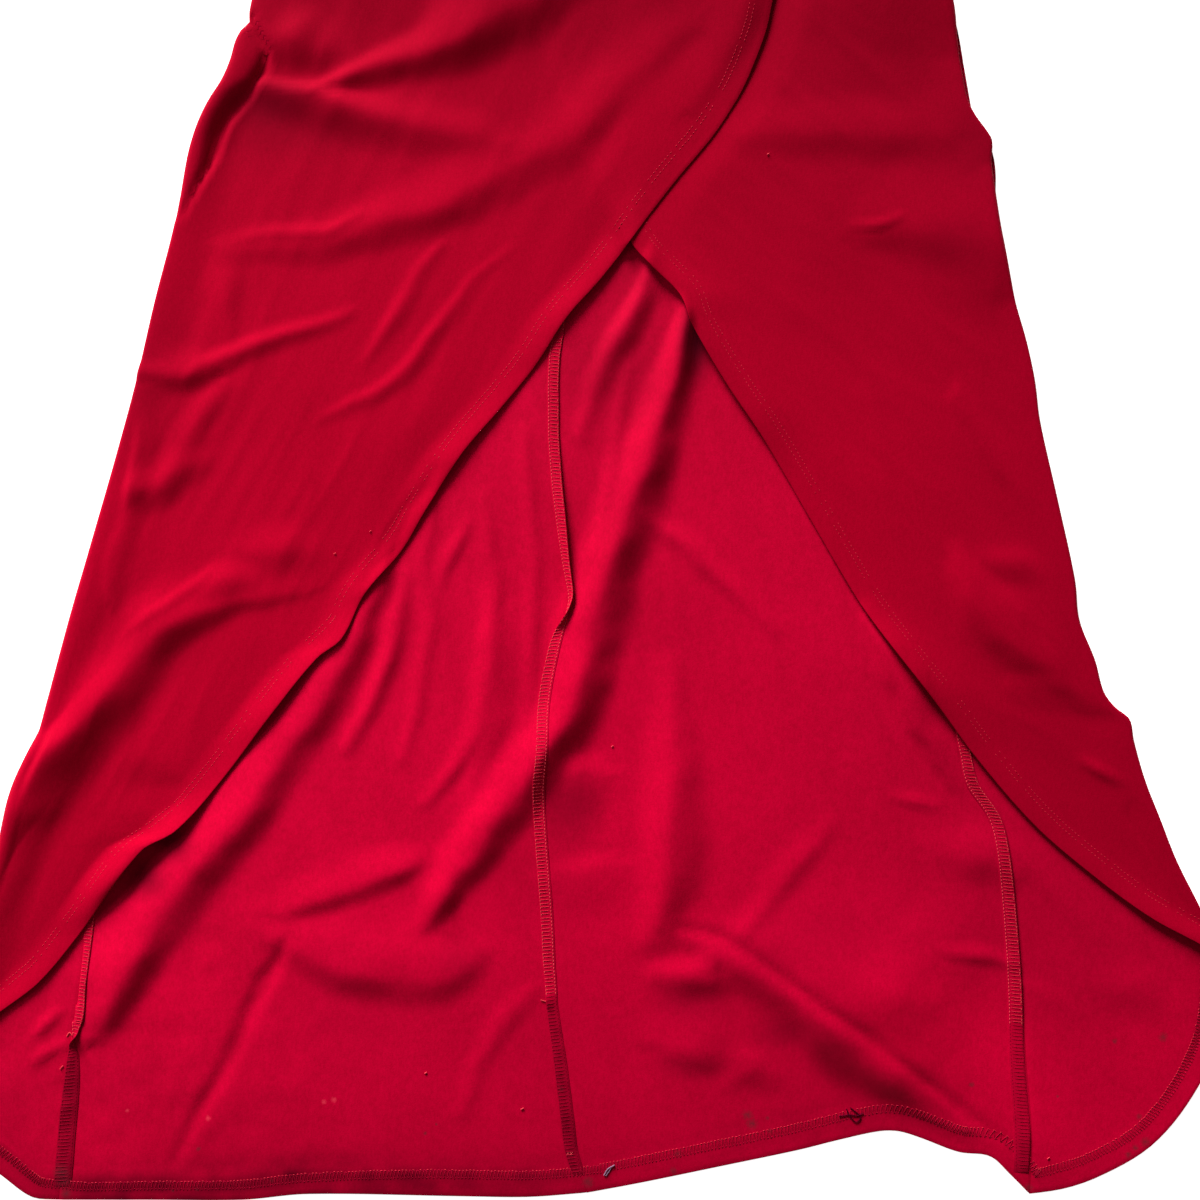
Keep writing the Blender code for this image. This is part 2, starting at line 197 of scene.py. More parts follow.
# The ridges of each layer. First comes how far each reaches to the left and to the right of its line, where a
# list changes evenly on the way, and then the line's points as (across, drop, rise). A rise below 0 is a
# trough. sharp is 0 for a round crest and 1 for a crease.
folds = {
    "bottom": [
        ridge([7, 22, 29, 30, 29, 24, 18], [9, 26, 32, 33, 36, 24], (66, 419, 0.5), (70, 434, 4.5),
            (68, 452, 8.5), (55.5, 500, 10), (39.3, 545, 10.8), (25.6, 585, 11), (16.2, 612, 11),
            (4.8, 650, 11), (-4.4, 690, 10.5), (-13, 715, 9), (-30.5, 742, 7.2), (-48, 767, 7.2),
            (-65, 792, 7.5), (-84.5, 817, 7.5), (-100, 840, 5.5), (-110, 857, 1.5), sharp=0.25),
        ridge(18, [5, 12, 14], (43, 392, 2), (35, 422, 4), (20, 452, 3.6), (7, 484, 2.6), (-3, 515, 1)),
        ridge(24, 40, (-18, 755, 1), (-4, 756, 3), (6, 754, 1.5)),
        ridge(17, 44, (-18, 824, 0.8), (2, 822, 1.8), (18, 817, 0.8)),
        ridge(9, 10, (32, 470, 0.5), (24, 510, 1.4), (14, 560, 1.4), (6, 600, 0.6)),
        ridge([22, 30, 34, 30], 30, (57, 680, 1), (60, 730, 3.6), (61.5, 770, 5.6), (60.5, 810, 6.4),
            (56, 845, 4.6), (49, 868, 2), sharp=0.3),
        ridge([34, 120, 150, 80], [18, 34, 35, 24], (63, 867, 0.8), (84, 873, 2), (108, 886, 5),
            (146, 909.5, 8.2), (173, 931, 10), (197, 948.5, 10.4), (214, 964.5, 8.6), (231, 981, 4.6),
            (250, 999, 1.4)),
        ridge(18, 14, (-52, 640, 0.6), (-58, 690, 2.2), (-68, 735, 2.4), (-84, 775, 0.8)),
        ridge(9, 7, (66, 862, -1), (100, 871, -2), (150, 905, -2.2), (200, 942, -2.2), (250, 980, -1.8),
            (290, 1011, -1), sharp=0.6),
        ridge([16, 24, 28, 27, 20], 42, (-142, 612, 2), (-154, 645, 3.6), (-168, 678, 4.4), (-186, 702, 5),
            (-216, 748, 5.6), (-239, 783, 6.2), (-269, 817, 7), (-291, 846, 7.6), (-311, 877, 7.6),
            (-328, 903, 7), (-345, 934, 2)),
        ridge(12, 13, (-124, 612, 1), (-130, 650, 2.2), (-137, 680, 2.6), (-152, 708, 2), (-168, 738, 1)),
        ridge([30, 70, 60, 24], 22, (-226, 859, 0.8), (-206, 872, 2.4), (-180, 888, 3.4), (-150, 898, 4),
            (-125, 900, 4.2), (-102, 899, 4), (-85, 892, 2.8), (-72, 881, 1)),
        ridge(26, 13, (-218, 850, 0.8), (-195, 846, 2.6), (-165, 836, 2.8), (-129, 824, 3),
            (-114, 816, 0.8)),
        ridge(9, 11, (-108, 563, 0.6), (-112, 605, 1), (-107, 647, 1), (-117, 703, 1.2), (-129, 745, 0.6)),
        ridge(6, 12, (-84, 578, 0.6), (-92, 600, 1.8), (-99, 624, 0.6)),
        ridge(12, 16, (-73, 563, 0.8), (-66, 605, 2), (-62, 647, 2.8), (-68, 696, 2.8), (-81, 738, 2.4),
            (-112, 773, 0.8)),
        ridge(10, 14, (-42, 514, 0.8), (-38, 563, 1.6), (-35, 619, 1.6), (-36, 675, 1.4), (-41, 717, 0.6)),
        ridge(12, 14, (-36, 906, 0.6), (-55, 928, 1.6), (-72, 952, 1.2), (-86, 992, 0.6)),
        ridge(11, 10, (-209, 871, -0.9), (-225, 904, -2.4), (-245, 946, -2.4), (-264, 984, -2),
            (-288, 1026, -0.8)),
        ridge(14, 9, (42, 576, 1), (62, 592, 2.2), (86, 610, 2), (110, 633, 1.4), (134, 657, 0.5),
            sharp=0.5),
        ridge(8, 22, (89, 874, 0.8), (91, 885, 2.2), (92, 896, 0.8)),
        ridge(18, 22, (54, 896, 1.4), (74, 895, 3), (94, 899, 1.4)),
        ridge(46, 22, (58, 947, 1.2), (80, 947, 3), (98, 953, 1.2)),
        ridge(20, 22, (104, 968, 1), (114, 962, 2.6), (128, 966, 1)),
        ridge(8, 7, (215, 770, 0.4), (232, 774, 1.2), (248, 779, 0.6)),
        ridge(26, [8, 13, 15, 14, 10], (196, 644, 1.5), (210, 668, 4), (222, 692, 5.4), (234, 720, 4.4),
            (258, 764, 1)),
        ridge(12, 14, (-290, 800, -1), (-303, 815, -2.6), (-318, 832, -2.6), (-334, 850, -1)),
        ridge(12, 7, (252, 878, 0.8), (276, 882, 1.8), (301, 890, 1), sharp=0.5),
        ridge(9, 5, (308, 903, 0.5), (325, 912, 1), (346, 924, 0.4), sharp=0.6),
        ridge(12, 7, (301, 808, 0.6), (328, 838, 1.3), (356, 869, 0.6), sharp=0.6),
        ridge(26, 24, (364, 902, 0.6), (385, 905, 1.8), (408, 920, 0.8)),
        ridge(34, 26, (250, 808, 1), (274, 812, 2.4), (297, 824, 1)),
        ridge(22, 14, (108, 867, 0.6), (140, 830, 1.4), (171, 794, 0.6)),
        ridge(6, 6, (-388, 941, 0.5), (-378, 930, 2.2), (-367, 920, 1)),
        ridge(6, 6, (-390, 960, 0.5), (-377, 951, 1.8), (-364, 944, 1)),
    ],
    "over": [
        ridge(40, 95, (-215, 186, 2), (-120, 176, 4.5), (-40, 170, 5), (60, 168, 4)),
        ridge([8, 24, 90, 90], [14, 26, 36, 36], (-189, 273, 1.5), (-162, 264, 3.5), (-132, 255, 5),
            (-100, 246, 6), (-75, 232, 6.5), (-50, 215, 6.5), (-20, 198, 5), (20, 184, 2)),
        ridge([8, 12, 30, 34], [26, 34, 34, 24], (-238, 268, 1.4), (-215, 272, 4), (-195, 277, 5),
            (-170, 285, 5.2), (-140, 295, 4.6), (-110, 303, 3.2), (-60, 314, 1)),
        ridge(30, 26, (-219, 240, 3), (-203, 240, 5.4), (-188, 245, 3)),
        ridge([26, 34, 42], [20, 26, 27, 24], (-250, 389, 0.8), (-195, 385, 2), (-160, 377, 2.6),
            (-110, 359, 3.2), (-70, 341, 3.6), (-40, 326, 3.4), (-11, 308, 3), (10, 287, 2.2),
            (40, 256, 1.4), (75, 228, 0.8)),
        ridge(6, 9, (-245, 381, 0.4), (-212, 376, 1.1), (-182, 375, 1.1), (-158, 364, 0.5)),
        ridge(9, 13, (-277, 476, 0.9), (-260, 465, 1.9), (-225, 451, 1.9), (-195, 443, 1.6),
            (-164, 433, 0.6), sharp=0.5),
        ridge(30, 17, (-322, 472, 3), (-292, 477, 5), (-264, 474, 2)),
        ridge(8, 12, (-186, 506, 0.4), (-148, 487, 1.4), (-119, 462, 1.5), (-98, 434, 1.4), (-78, 410, 0.9),
            (-56, 390, 0.4), sharp=0.4),
        ridge(8, 13, (-154, 466, 0.5), (-133, 434, 1.6), (-116, 402, 1.6), (-104, 386, 0.7), sharp=0.4),
        ridge(17, 22, (-250, 390, 0.8), (-251, 415, 2), (-247, 442, 0.8)),
        ridge(17, 17, (-295, 550, 0.8), (-281, 522, 2.4), (-266, 500, 2.4), (-251, 484, 0.8)),
        ridge(19, 10, (-313, 486, 1.4), (-312, 515, 3.8), (-316, 542, 3.6), (-323, 572, 3),
            (-330, 600, 3.4), (-333, 632, 1.4)),
        ridge(22, 22, (-332, 557, 1.6), (-306, 554, 3), (-286, 541, 2.4), (-272, 535, 1)),
        ridge(26, 26, (-244, 602, 0.8), (-213, 599, 2.4), (-196, 602, 0.8)),
        ridge(18, 18, (-270, 624, 1), (-252, 618, 2.8), (-236, 617, 1)),
        ridge([14, 28, 38, 40, 36], [38, 46, 41, 30, 25, 23], (-196, 626, 0.6), (-230, 630, 1.7),
            (-252, 634, 3.2), (-277, 643.5, 5), (-299, 656.5, 6.8), (-316, 677.5, 8), (-336, 701, 9.2),
            (-358.5, 723, 9.8), (-380, 747.5, 9.8), (-400, 777, 9.2), (-415.5, 807, 8.4), (-431, 840, 7),
            (-442, 875, 3.2)),
        ridge(6, 9, (-322, 656, 0.5), (-290, 634, 1.4), (-262, 612, 0.5), sharp=0.4),
        ridge([24, 20, 18], 40, (120, 190, 4), (112, 215, 4), (104, 238, 2.8), (94, 258, 1.4),
            (74, 286, 0.6)),
        ridge(24, 24, (-308, 762, -2), (-294, 770, -2)),
        ridge(10, 10, (-154, 619, -1.2), (-130, 580, -1.4), (-104, 542, -0.8)),
    ],
    "rightFold": [
        ridge(4, [6, 7, 8, 15, 14, 8, 5], (-236, 205, -2), (-233, 230, -4), (-222, 251, -4),
            (-226, 267, -4.5), (-237, 283, -6.5), (-251, 302, -6.5), (-259, 323, -5), (-270, 345, -3),
            (-281, 366, -1), sharp=0.6),
    ],
    "leftFold": [],
    "under": [
        ridge(30, 120, (140, 190, 4), (190, 188, 7), (230, 186, 8), (262, 184, 8)),
        ridge(34, 26, (108, 305, 0.8), (150, 306, 1.8), (200, 307, 2), (250, 308, 1.8)),
        ridge(6, 5, (185, 371, 0.4), (206, 370, 1.2), (224, 363, 0.4)),
        ridge([40, 90, 120], [24, 56, 78], (192, 377, 0.6), (214, 371, 2), (245, 373, 3.8), (290, 380, 5)),
        ridge(18, 14, (262, 493, 1), (297, 542, 1.6), (325, 598, 1.6), (339, 640, 1)),
        ridge([18, 42, 46], [18, 26, 28, 22], (260, 598, 0.6), (265, 618, 2.8), (278, 642, 4.6),
            (300, 661, 4.8), (330, 679, 3.2), (358, 695, 1)),
        ridge(14, 22, (300, 691, 0.5), (330, 693, 1), (362, 701, 0.7)),
        ridge(20, 20, (278, 605, 0.5), (300, 606, 1.2), (322, 615, 1), (338, 642, 0.6)),
        ridge(10, 7, (345, 748, 0.5), (360, 755, 1.8), (380, 763, 0.6), sharp=0.4),
        ridge(20, 20, (388, 784, -2), (410, 812, -3), (424, 840, -2)),
    ],
}


def lumps(across, drop, parts, mean=0):
    # mean, and soft noise of each (amount, size, seed) added to it
    return sum((amount * softNoise(across, drop, size, seed) for amount, size, seed in parts), mean)


wobble = {
    # how far the lines of the ridges stray across and down, and how uneven their heights are
    "across": ((2.6, 34, 21), (1.2, 15, 22)),
    "down": ((2.6, 37, 23), (1.2, 16, 24)),
    "height": ((0.28, 41, 25),),
    "calmBelow": 24,      # a ridge narrower than this, both sides together, strays less
}


def foldHeight(layer, across, drop):
    total = np.zeros(np.broadcast(across, drop).shape)
    strayAcross = lumps(across, drop, wobble["across"])
    strayDown = lumps(across, drop, wobble["down"])
    uneven = lumps(across, drop, wobble["height"], 1)
    for fold in folds[layer]:
        line = np.array(fold["line"], float)
        peak = np.abs(line[:, 2]).max()
        line = chain(line, np.linspace(0, 1, 6 * (len(line) - 1) + 1))
        reach = max(np.max(fold["left"]), np.max(fold["right"])) + 4
        low, high = line[:, :2].min(axis=0) - reach, line[:, :2].max(axis=0) + reach
        near = (across > low[0]) & (across < high[0]) & (drop > low[1]) & (drop < high[1])
        if not near.any():
            continue
        calm = min(1.0, (np.mean(fold["left"]) + np.mean(fold["right"])) / wobble["calmBelow"])
        x, y = across[near] + strayAcross[near] * calm, drop[near] + strayDown[near] * calm
        best = np.full(x.shape, 1e9)
        part, side = np.zeros(x.shape), np.zeros(x.shape)
        for i in range(len(line) - 1):
            ax, ay = line[i, :2]
            bx, by = line[i + 1, :2] - line[i, :2]
            t = np.clip(((x - ax) * bx + (y - ay) * by) / (bx * bx + by * by), 0, 1)
            distance = np.hypot(x - ax - bx * t, y - ay - by * t)
            closer = distance < best
            best = np.where(closer, distance, best)
            part = np.where(closer, i + t, part)
            side = np.where(closer, bx * (y - ay) - by * (x - ax), side)
        rise = np.interp(part, np.arange(len(line)), line[:, 2])
        share = part / (len(line) - 1)
        left, right = [np.interp(share, np.linspace(0, 1, np.size(fold[edge])), np.ravel(fold[edge]))
                       for edge in ("left", "right")]
        width = np.where(side > 0, right, left) * (0.6 + 0.4 * np.abs(rise) / peak)
        away = np.clip(best / width, 0, 1)
        rounded = (0.5 + 0.5 * np.cos(math.pi * away)) ** 1.3
        creased = (1 - np.sqrt((away ** 2 + 0.004) / 1.004)) ** 1.6
        hump = rounded + (creased - rounded) * fold["sharp"]
        total[near] += rise * hump * uneven[near]
    return total


creases = {
    "sizes": ((34, 0.55), (17, 0.26), (8.5, 0.09)),      # size and height of each set
    "stretch": 2.6,                                      # how much longer than wide they are
    "patchy": (0.6, 90),                                 # how much they come and go, and over what distance
}


def crumple(across, drop, angle, seed):
    # fine creases that run mostly at one angle, in millimetres of height
    turn = math.radians(angle)
    along = across * math.cos(turn) + drop * math.sin(turn)
    beside = drop * math.cos(turn) - across * math.sin(turn)
    total = np.zeros(np.broadcast(across, drop).shape)
    for size, rise in creases["sizes"]:
        wave = softNoise(along / creases["stretch"] + beside * 0.3, beside + 0.35 * along, size,
                         seed + int(size))
        total += rise * (0.7 - np.abs(wave) * 1.4)
    amount, size = creases["patchy"]
    return total * lumps(across, drop, [(amount, size, seed + 5)], 0.75)


lifts = {
    # how far each front edge stands off what lies under it, as (drop, lift)
    "overEdge": [(0, 0.2), (213, 1.8), (250, 1), (290, 0), (350, 0), (374, 0.2), (390, 1.6), (410, 2.6),
        (435, 2.8), (455, 1.8), (472, 0.6), (490, 0.9), (512, 2.4), (535, 3.2), (556, 1.8), (575, 1.6),
        (592, 0.8), (602, 0.8), (618, 2.6), (640, 0.6), (676, 3), (695, 4), (715, 3.4), (738, 1.6),
        (760, 1.2), (782, 4), (804, 8), (824, 8.8), (846, 4), (860, 1.2), (872, 1.2), (890, 1.6),
        (910, 2), (930, 2.2), (950, 1.8), (965, 1)],
    "underEdge": [(0, 0.2), (250, 0.4), (340, 2.2), (383, 3.8), (430, 5), (465, 4.6), (495, 3.6),
        (520, 2.4), (545, 1.4), (575, 0.8), (630, 1.6), (670, 4), (695, 5), (715, 4.4), (740, 2.8),
        (770, 2), (800, 1.4), (830, 1.8), (855, 3.2), (885, 4)],
}
hemDrops = tableOf(hemLine[:-1])


def edgeLift(name, across, drop, reach):
    lift = np.interp(drop, *tableOf(lifts[name])) * (1 + 0.25 * softNoise(across, drop, 45, 12))
    return lift * (1 - smoothStep(np.abs(across - lineAt(name, drop)) / reach))


# the unevenness of each layer: its mean height, its lumps as (height, size, seed), and its creases as
# (share, angle, seed)
surfaces = {
    "bottom": (0, [(0.5, 62, 3)], (1, 100, 60)),
    "under": (1.2, [(0.6, 70, 5)], (0.8, 62, 70)),
    "over": (1.4, [(0.7, 75, 7)], (1, -42, 80)),
}
bottomMean = 1.8      # mean height of the bottom layer away from the hem
lap = {
    "pressedBottom": 0.35,    # what is left of a layer's height where another covers it
    "pressedUnder": 0.25,
    "cover": 30,          # how far the change from pressed to free takes
    "calmEdge": 60,       # how far in from a front edge the cloth gets its full unevenness
    "underLift": 55,      # how far in the lift of each front edge reaches
    "overLift": 28,
    "step": 14,           # how far the upper front takes to come down from the lower front to the back
    "parting": 400,       # drop at which the two front edges part
    "end": 430,           # drop at which the upper front no longer lies on the lower
    "fade": 40,
}
ruffle = {
    # the extra crumple low inside the skirt, on the wearer's right: where it starts, and how soon it is full
    "across": -100,
    "acrossReach": 150,
    "drop": 780,
    "dropReach": 120,
    "creases": 0.7,
    "lumps": 0.35,
}


def unevenAt(layer, across, drop):
    mean, parts, (share, angle, seed) = surfaces[layer]
    return lumps(across, drop, parts, mean) + share * crumple(across, drop, angle, seed)


def nextLayer(height):
    return height + cloth["wall"] + cloth["layerGap"] + cloth["hemExtra"]


def bottomHeight(across, drop):
    # the back and both wrapped strips, which are one surface inside the skirt
    uneven = unevenAt("bottom", across, drop)
    ruffled = (smoothStep((ruffle["across"] - across) / ruffle["acrossReach"])
               * smoothStep((drop - ruffle["drop"]) / ruffle["dropReach"]))
    uneven = uneven + ruffled * (ruffle["creases"] * crumple(across, drop, 128, 64)
                                 + ruffle["lumps"] * softNoise(across, drop, 13, 66))
    covered = np.minimum(across - lineAt("overEdge", drop), lineAt("underEdge", drop) - across)
    shown = smoothStep((covered + lap["cover"]) / lap["cover"])
    toHem = np.interp(across, *hemDrops) - drop
    settled = (bottomMean + uneven) * (0.3 + 0.7 * smoothStep((toHem + 3) / 75))
    ridges = np.maximum(foldHeight("bottom", across, drop) * smoothStep((toHem + 3) / 24) + settled, 0)
    return ridges * (lap["pressedBottom"] + (1 - lap["pressedBottom"]) * shown)


def underHeight(across, drop):
    base = nextLayer(bottomHeight(across, drop))
    clear = smoothStep((across - lineAt("overEdge", drop)) / lap["cover"])
    uneven = unevenAt("under", across, drop)
    uneven *= smoothStep((across - lineAt("underEdge", drop) + 3) / lap["calmEdge"])
    pressed = lap["pressedUnder"] + (1 - lap["pressedUnder"]) * clear
    free = (foldHeight("under", across, drop) + uneven) * pressed
    return base + np.maximum(free + edgeLift("underEdge", across, drop, lap["underLift"]), 0)


def overHeight(across, drop):
    bottom = nextLayer(bottomHeight(across, drop))
    under = nextLayer(underHeight(across, drop))
    line = lineAt("underEdge", np.minimum(drop, lap["parting"]))
    on = smoothStep((across - line + lap["step"]) / lap["step"])
    on = on * smoothStep((lap["end"] - drop) / lap["fade"])
    uneven = unevenAt("over", across, drop)
    uneven *= smoothStep((lineAt("overEdge", drop) - across + 3) / lap["calmEdge"])
    free = foldHeight("over", across, drop) + uneven + edgeLift("overEdge", across, drop, lap["overLift"])
    return bottom + (under - bottom) * on + np.maximum(free, 0)


def coons(left, right, top, bottom):
    # left and right run down the panel, top and bottom across it
    v = np.linspace(0, 1, len(left))[:, None, None]
    u = np.linspace(0, 1, len(top))[None, :, None]
    sides = (1 - u) * left[:, None] + u * right[:, None]
    ends = (1 - v) * top[None] + v * bottom[None]
    corners = (1 - v) * ((1 - u) * left[0] + u * right[0]) + v * ((1 - u) * left[-1] + u * right[-1])
    return sides + ends - corners


def downLine(name, last, count, shift=0.0):
    drops = np.linspace(0, last, count)
    return np.stack([lineAt(name, drops) + shift, drops], axis=-1)


stitches = {
    "rows": (11.8, 15.2),     # twin needle rows on the outside, in from the front edges
    "pitch": 3.0,
    "length": 1.6,
    "shown": 0.8,             # share of the needle stitches that stand out of the cloth
    "rowThread": 0.18,
    "thread": 0.23,
    "hemThread": 0.17,
    "dotLength": 1.0,
    "dotsShown": 0.75,
    "band": (12.2, 18.0),     # the same hem from its inside: the looper threads run between these
    "bandPitch": 2.5,
    "bandShift": [(-467, -1), (-400, -2), (-350, -6), (-200, -4), (-110, 0), (449, 0)],   # by across
}
paintedShadeAndDirt = {
    "band": 0.13,           # how much darker the cloth is under the hem's threads
    "patchy": ((0.4, 9, 41), (0.3, 23, 42)),     # how the darkening near the hem comes and goes
    "shade": 0.30,          # painted shade: how much darker the cloth gets away from the middle of a painted pool of light
    "middle": (-160, 620),  # across and drop of the middle of the painted pool of light, its palest place
    "near": 180.0,
    "far": 380.0,
    # painted shade and painted light: darker and paler places as (across, drop, reach across, reach down, how
    # much darker)
    "paintedPatches": [(240, 930, 85, 70, -0.34), (300, 965, 90, 80, -0.2), (350, 1010, 150, 50, -0.2),
                (412, 950, 80, 90, -0.24), (120, 1020, 150, 50, -0.1), (-350, 1012, 90, 44, -0.2),
                (-300, 905, 80, 90, -0.14), (-390, 930, 50, 80, -0.14), (-300, 665, 50, 40, 0.12),
                (-190, 304, 90, 26, 0.2), (-220, 284, 50, 25, 0.45), (-235, 310, 60, 40, 0.12),
                (-310, 480, 60, 120, 0.24), (-185, 590, 80, 100, -0.08), (60, 300, 110, 80, -0.12),
                (230, 530, 150, 200, -0.08), (275, 315, 34, 45, 0.12), (260, 385, 40, 30, 0.12)],
    # painted shadows and painted light, the same way, on the inner side only
    "inside": [(78, 452, 18, 42, 0.9), (40, 395, 50, 40, 0.2), (30, 465, 70, 70, 0.2),
               (-15, 470, 40, 50, 0.1), (20, 540, 70, 130, 0.1), (45, 650, 60, 120, 0.08),
               (-290, 802, 26, 24, 0.7), (-308, 827, 24, 22, 0.7), (-10, 776, 36, 40, 0.42),
               (30, 795, 24, 50, -0.22), (-28, 820, 60, 66, 0.16), (25, 845, 38, 55, -0.12),
               (-88, 885, 32, 26, 0.3),
               (-165, 905, 75, 75, 0.12), (-110, 915, 110, 70, 0.04), (-30, 940, 90, 90, 0.1),
               (75, 912, 40, 24, 0.28), (75, 961, 34, 15, 0.2), (85, 940, 90, 50, 0.06),
               (150, 870, 110, 60, 0.14), (140, 936, 34, 18, 0.26), (385, 905, 60, 40, 0.08)],
    # darkening along the hem by across: within the hem, real dirt with the painted shade of the turned hem's
    # edge, and above it, painted fold shade
    "hem": [(-467, 0), (-390, 0.14), (-340, 0.38), (-130, 0.42), (-60, 0.3), (0, 0.18), (60, 0.04),
            (200, 0.02), (300, 0.08), (350, 0), (449, 0)],
    "above": [(-467, 0), (-350, 0.1), (-260, 0.3), (-180, 0.36), (-110, 0.18), (-60, 0.16), (40, 0.12),
              (140, 0.16), (240, 0.1), (449, 0)],
}


def patchesAt(paintedPatches, across, drop):
    total = 0
    for centreAcross, centreDrop, reachAcross, reachDrop, amount in paintedPatches:
        away = np.hypot((across - centreAcross) / reachAcross, (drop - centreDrop) / reachDrop)
        total = total + amount * smoothStep(1 - away)
    return total


def shadeAt(across, drop):
    # painted shade: darker away from the middle of a painted pool of light, plus painted darker and paler
    # patches
    away = np.hypot(across - paintedShadeAndDirt["middle"][0], drop - paintedShadeAndDirt["middle"][1])
    shade = paintedShadeAndDirt["shade"] * smoothStep((away - paintedShadeAndDirt["near"]) / paintedShadeAndDirt["far"])
    return shade + patchesAt(paintedShadeAndDirt["paintedPatches"], across, drop)


def hemDistance(across, drop):
    line = chain(hemLine, np.linspace(0, 1, 160))
    nearest = np.full(across.shape, 1e9)
    for (ax, ay), (bx, by) in zip(line[:-1], line[1:] - line[:-1]):
        t = np.clip(((across - ax) * bx + (drop - ay) * by) / (bx * bx + by * by), 0, 1)
        nearest = np.minimum(nearest, np.hypot(across - ax - bx * t, drop - ay - by * t))
    return nearest


def dirtAndShadeAt(across, drop):
    # real dirt and painted shade of the turned hem, painted fold shade above it, and painted shadows on the
    # inner side
    away = hemDistance(across, drop)
    patchy = lumps(across, drop, paintedShadeAndDirt["patchy"], 1)
    low = np.interp(across, *zip(*paintedShadeAndDirt["hem"])) * smoothStep((cloth["hemDepth"] + 2 - away) / 4)
    shift = np.interp(across, *zip(*stitches["bandShift"]))
    low = low + paintedShadeAndDirt["band"] * smoothStep(2 - np.abs(away - shift - sum(stitches["band"]) / 2) / 2.4)
    high = np.interp(across, *zip(*paintedShadeAndDirt["above"])) * smoothStep((38 - away) / 22)
    return np.maximum(low, high) * patchy + patchesAt(paintedShadeAndDirt["inside"], across, drop)


def makeMesh(name, vertices, faces, materials, faceMaterials=None, darkening=None):
    mesh = bpy.data.meshes.new(name)
    mesh.vertices.add(len(vertices))
    mesh.vertices.foreach_set("co", np.asarray(vertices, np.float32).ravel())
    faces = np.asarray(faces, np.int32)
    mesh.loops.add(faces.size)
    mesh.loops.foreach_set("vertex_index", faces.ravel())
    mesh.polygons.add(len(faces))
    mesh.polygons.foreach_set("loop_start", np.arange(0, faces.size, faces.shape[1], dtype=np.int32))
    if faceMaterials is not None:
        mesh.polygons.foreach_set("material_index", np.asarray(faceMaterials, np.int32))
    mesh.update(calc_edges=True)
    mesh.validate()
    mesh.shade_smooth()
    if darkening is not None:
        layer = mesh.attributes.new("darkening", "FLOAT", "POINT")
        layer.data.foreach_set("value", np.asarray(darkening, np.float32))
    for material in materials:
        mesh.materials.append(material)
    return addObject(name, mesh)


def clothShell(name, middle, outward, extraInside, materials, wall=cloth["wall"], darkening=0.0):
    # a wall of cloth about a grid of points, with rounded borders; outward is 1 or -1
    # the darkening attribute: painted shade and light everywhere, plus the darkening given
    darkening = np.clip(shadeAt(middle[..., 0], middle[..., 1]) + darkening, 0, 1)
    middle = middle * np.array([1, -1, 1])
    down, wide = middle.shape[:2]
    along = np.gradient(middle, axis=1)
    below = np.gradient(middle, axis=0)
    normal = np.cross(along, below)
    normal /= np.maximum(np.linalg.norm(normal, axis=2, keepdims=True), 1e-9)
    out = normal * outward
    outer = middle + out * wall / 2
    inner = middle - out * (wall / 2 + extraInside[..., None])
    index = np.arange(down * wide).reshape(down, wide)
    quads = np.stack([index[:-1, :-1], index[:-1, 1:], index[1:, 1:], index[1:, :-1]], axis=-1).reshape(-1, 4)
    outerFaces = quads if outward > 0 else quads[:, ::-1]
    innerFaces = outerFaces[:, ::-1] + down * wide
    # border loop, in the grid's turning sense
    loop = [(0, i) for i in range(wide - 1)] + [(j, wide - 1) for j in range(down - 1)]
    loop += [(down - 1, i) for i in range(wide - 1, 0, -1)] + [(j, 0) for j in range(down - 1, 0, -1)]
    rows, columns = np.array(loop).T
    away = np.zeros((len(loop), 3))
    for places, first, last, way in ((rows, 0, down - 1, below), (columns, 0, wide - 1, along)):
        away += np.where((places == first)[:, None], -way[rows, columns], 0)
        away += np.where((places == last)[:, None], way[rows, columns], 0)
    away -= normal[rows, columns] * (away * normal[rows, columns]).sum(axis=1, keepdims=True)
    away /= np.maximum(np.linalg.norm(away, axis=1, keepdims=True), 1e-9)
    centre = (outer[rows, columns] + inner[rows, columns]) / 2
    reach = outer[rows, columns] - centre
    radius = np.linalg.norm(reach, axis=1, keepdims=True)
    rings = [rows * wide + columns]
    vertices = [outer.reshape(-1, 3), inner.reshape(-1, 3)]
    start = 2 * down * wide
    for angle in (50, 15, -20, -55):
        turn = math.radians(angle)
        vertices.append(centre + away * radius * math.cos(turn) + reach * math.sin(turn))
        rings.append(start + np.arange(len(loop)))
        start += len(loop)
    rings.append(rings[0] + down * wide)
    borderFaces = []
    for first, second in zip(rings, rings[1:]):
        faces = np.stack([np.roll(first, -1), first, second, np.roll(second, -1)], axis=-1)
        borderFaces.append(faces if outward > 0 else faces[:, ::-1])
    faces = np.concatenate([outerFaces, innerFaces] + borderFaces)
    faceMaterials = np.zeros(len(faces), int)
    faceMaterials[len(outerFaces):2 * len(outerFaces)] = 1
    points = np.concatenate(vertices)
    points[:, 0] = points[:, 0] * mm + acrossZero
    points[:, 1] = points[:, 1] * mm + waistY
    points[:, 2] *= mm
    rim = darkening[rows, columns]
    darkening = np.concatenate([darkening.ravel(), darkening.ravel()] + [rim] * (len(rings) - 2))
    return makeMesh(name, points, faces, materials, faceMaterials, darkening)


rolls = {
    # height of the rolled side fold by drop, as (drop, height)
    "rightFold": [(0, 3.4), (140, 4.5), (213, 7), (262, 9), (320, 8), (400, 5.5), (560, 6), (680, 8),
                  (800, 8), (900, 6), (965, 4)],
    "leftFold": [(0, 3.2), (140, 3.6), (213, 4), (290, 5), (400, 4.4), (560, 4.2), (690, 5.5), (760, 5),
                 (885, 3.6)],
    "rise": 34,       # how far from the fold the top layer starts to rise on to the roll
    "level": 8,       # and how near to the fold it levels off
}


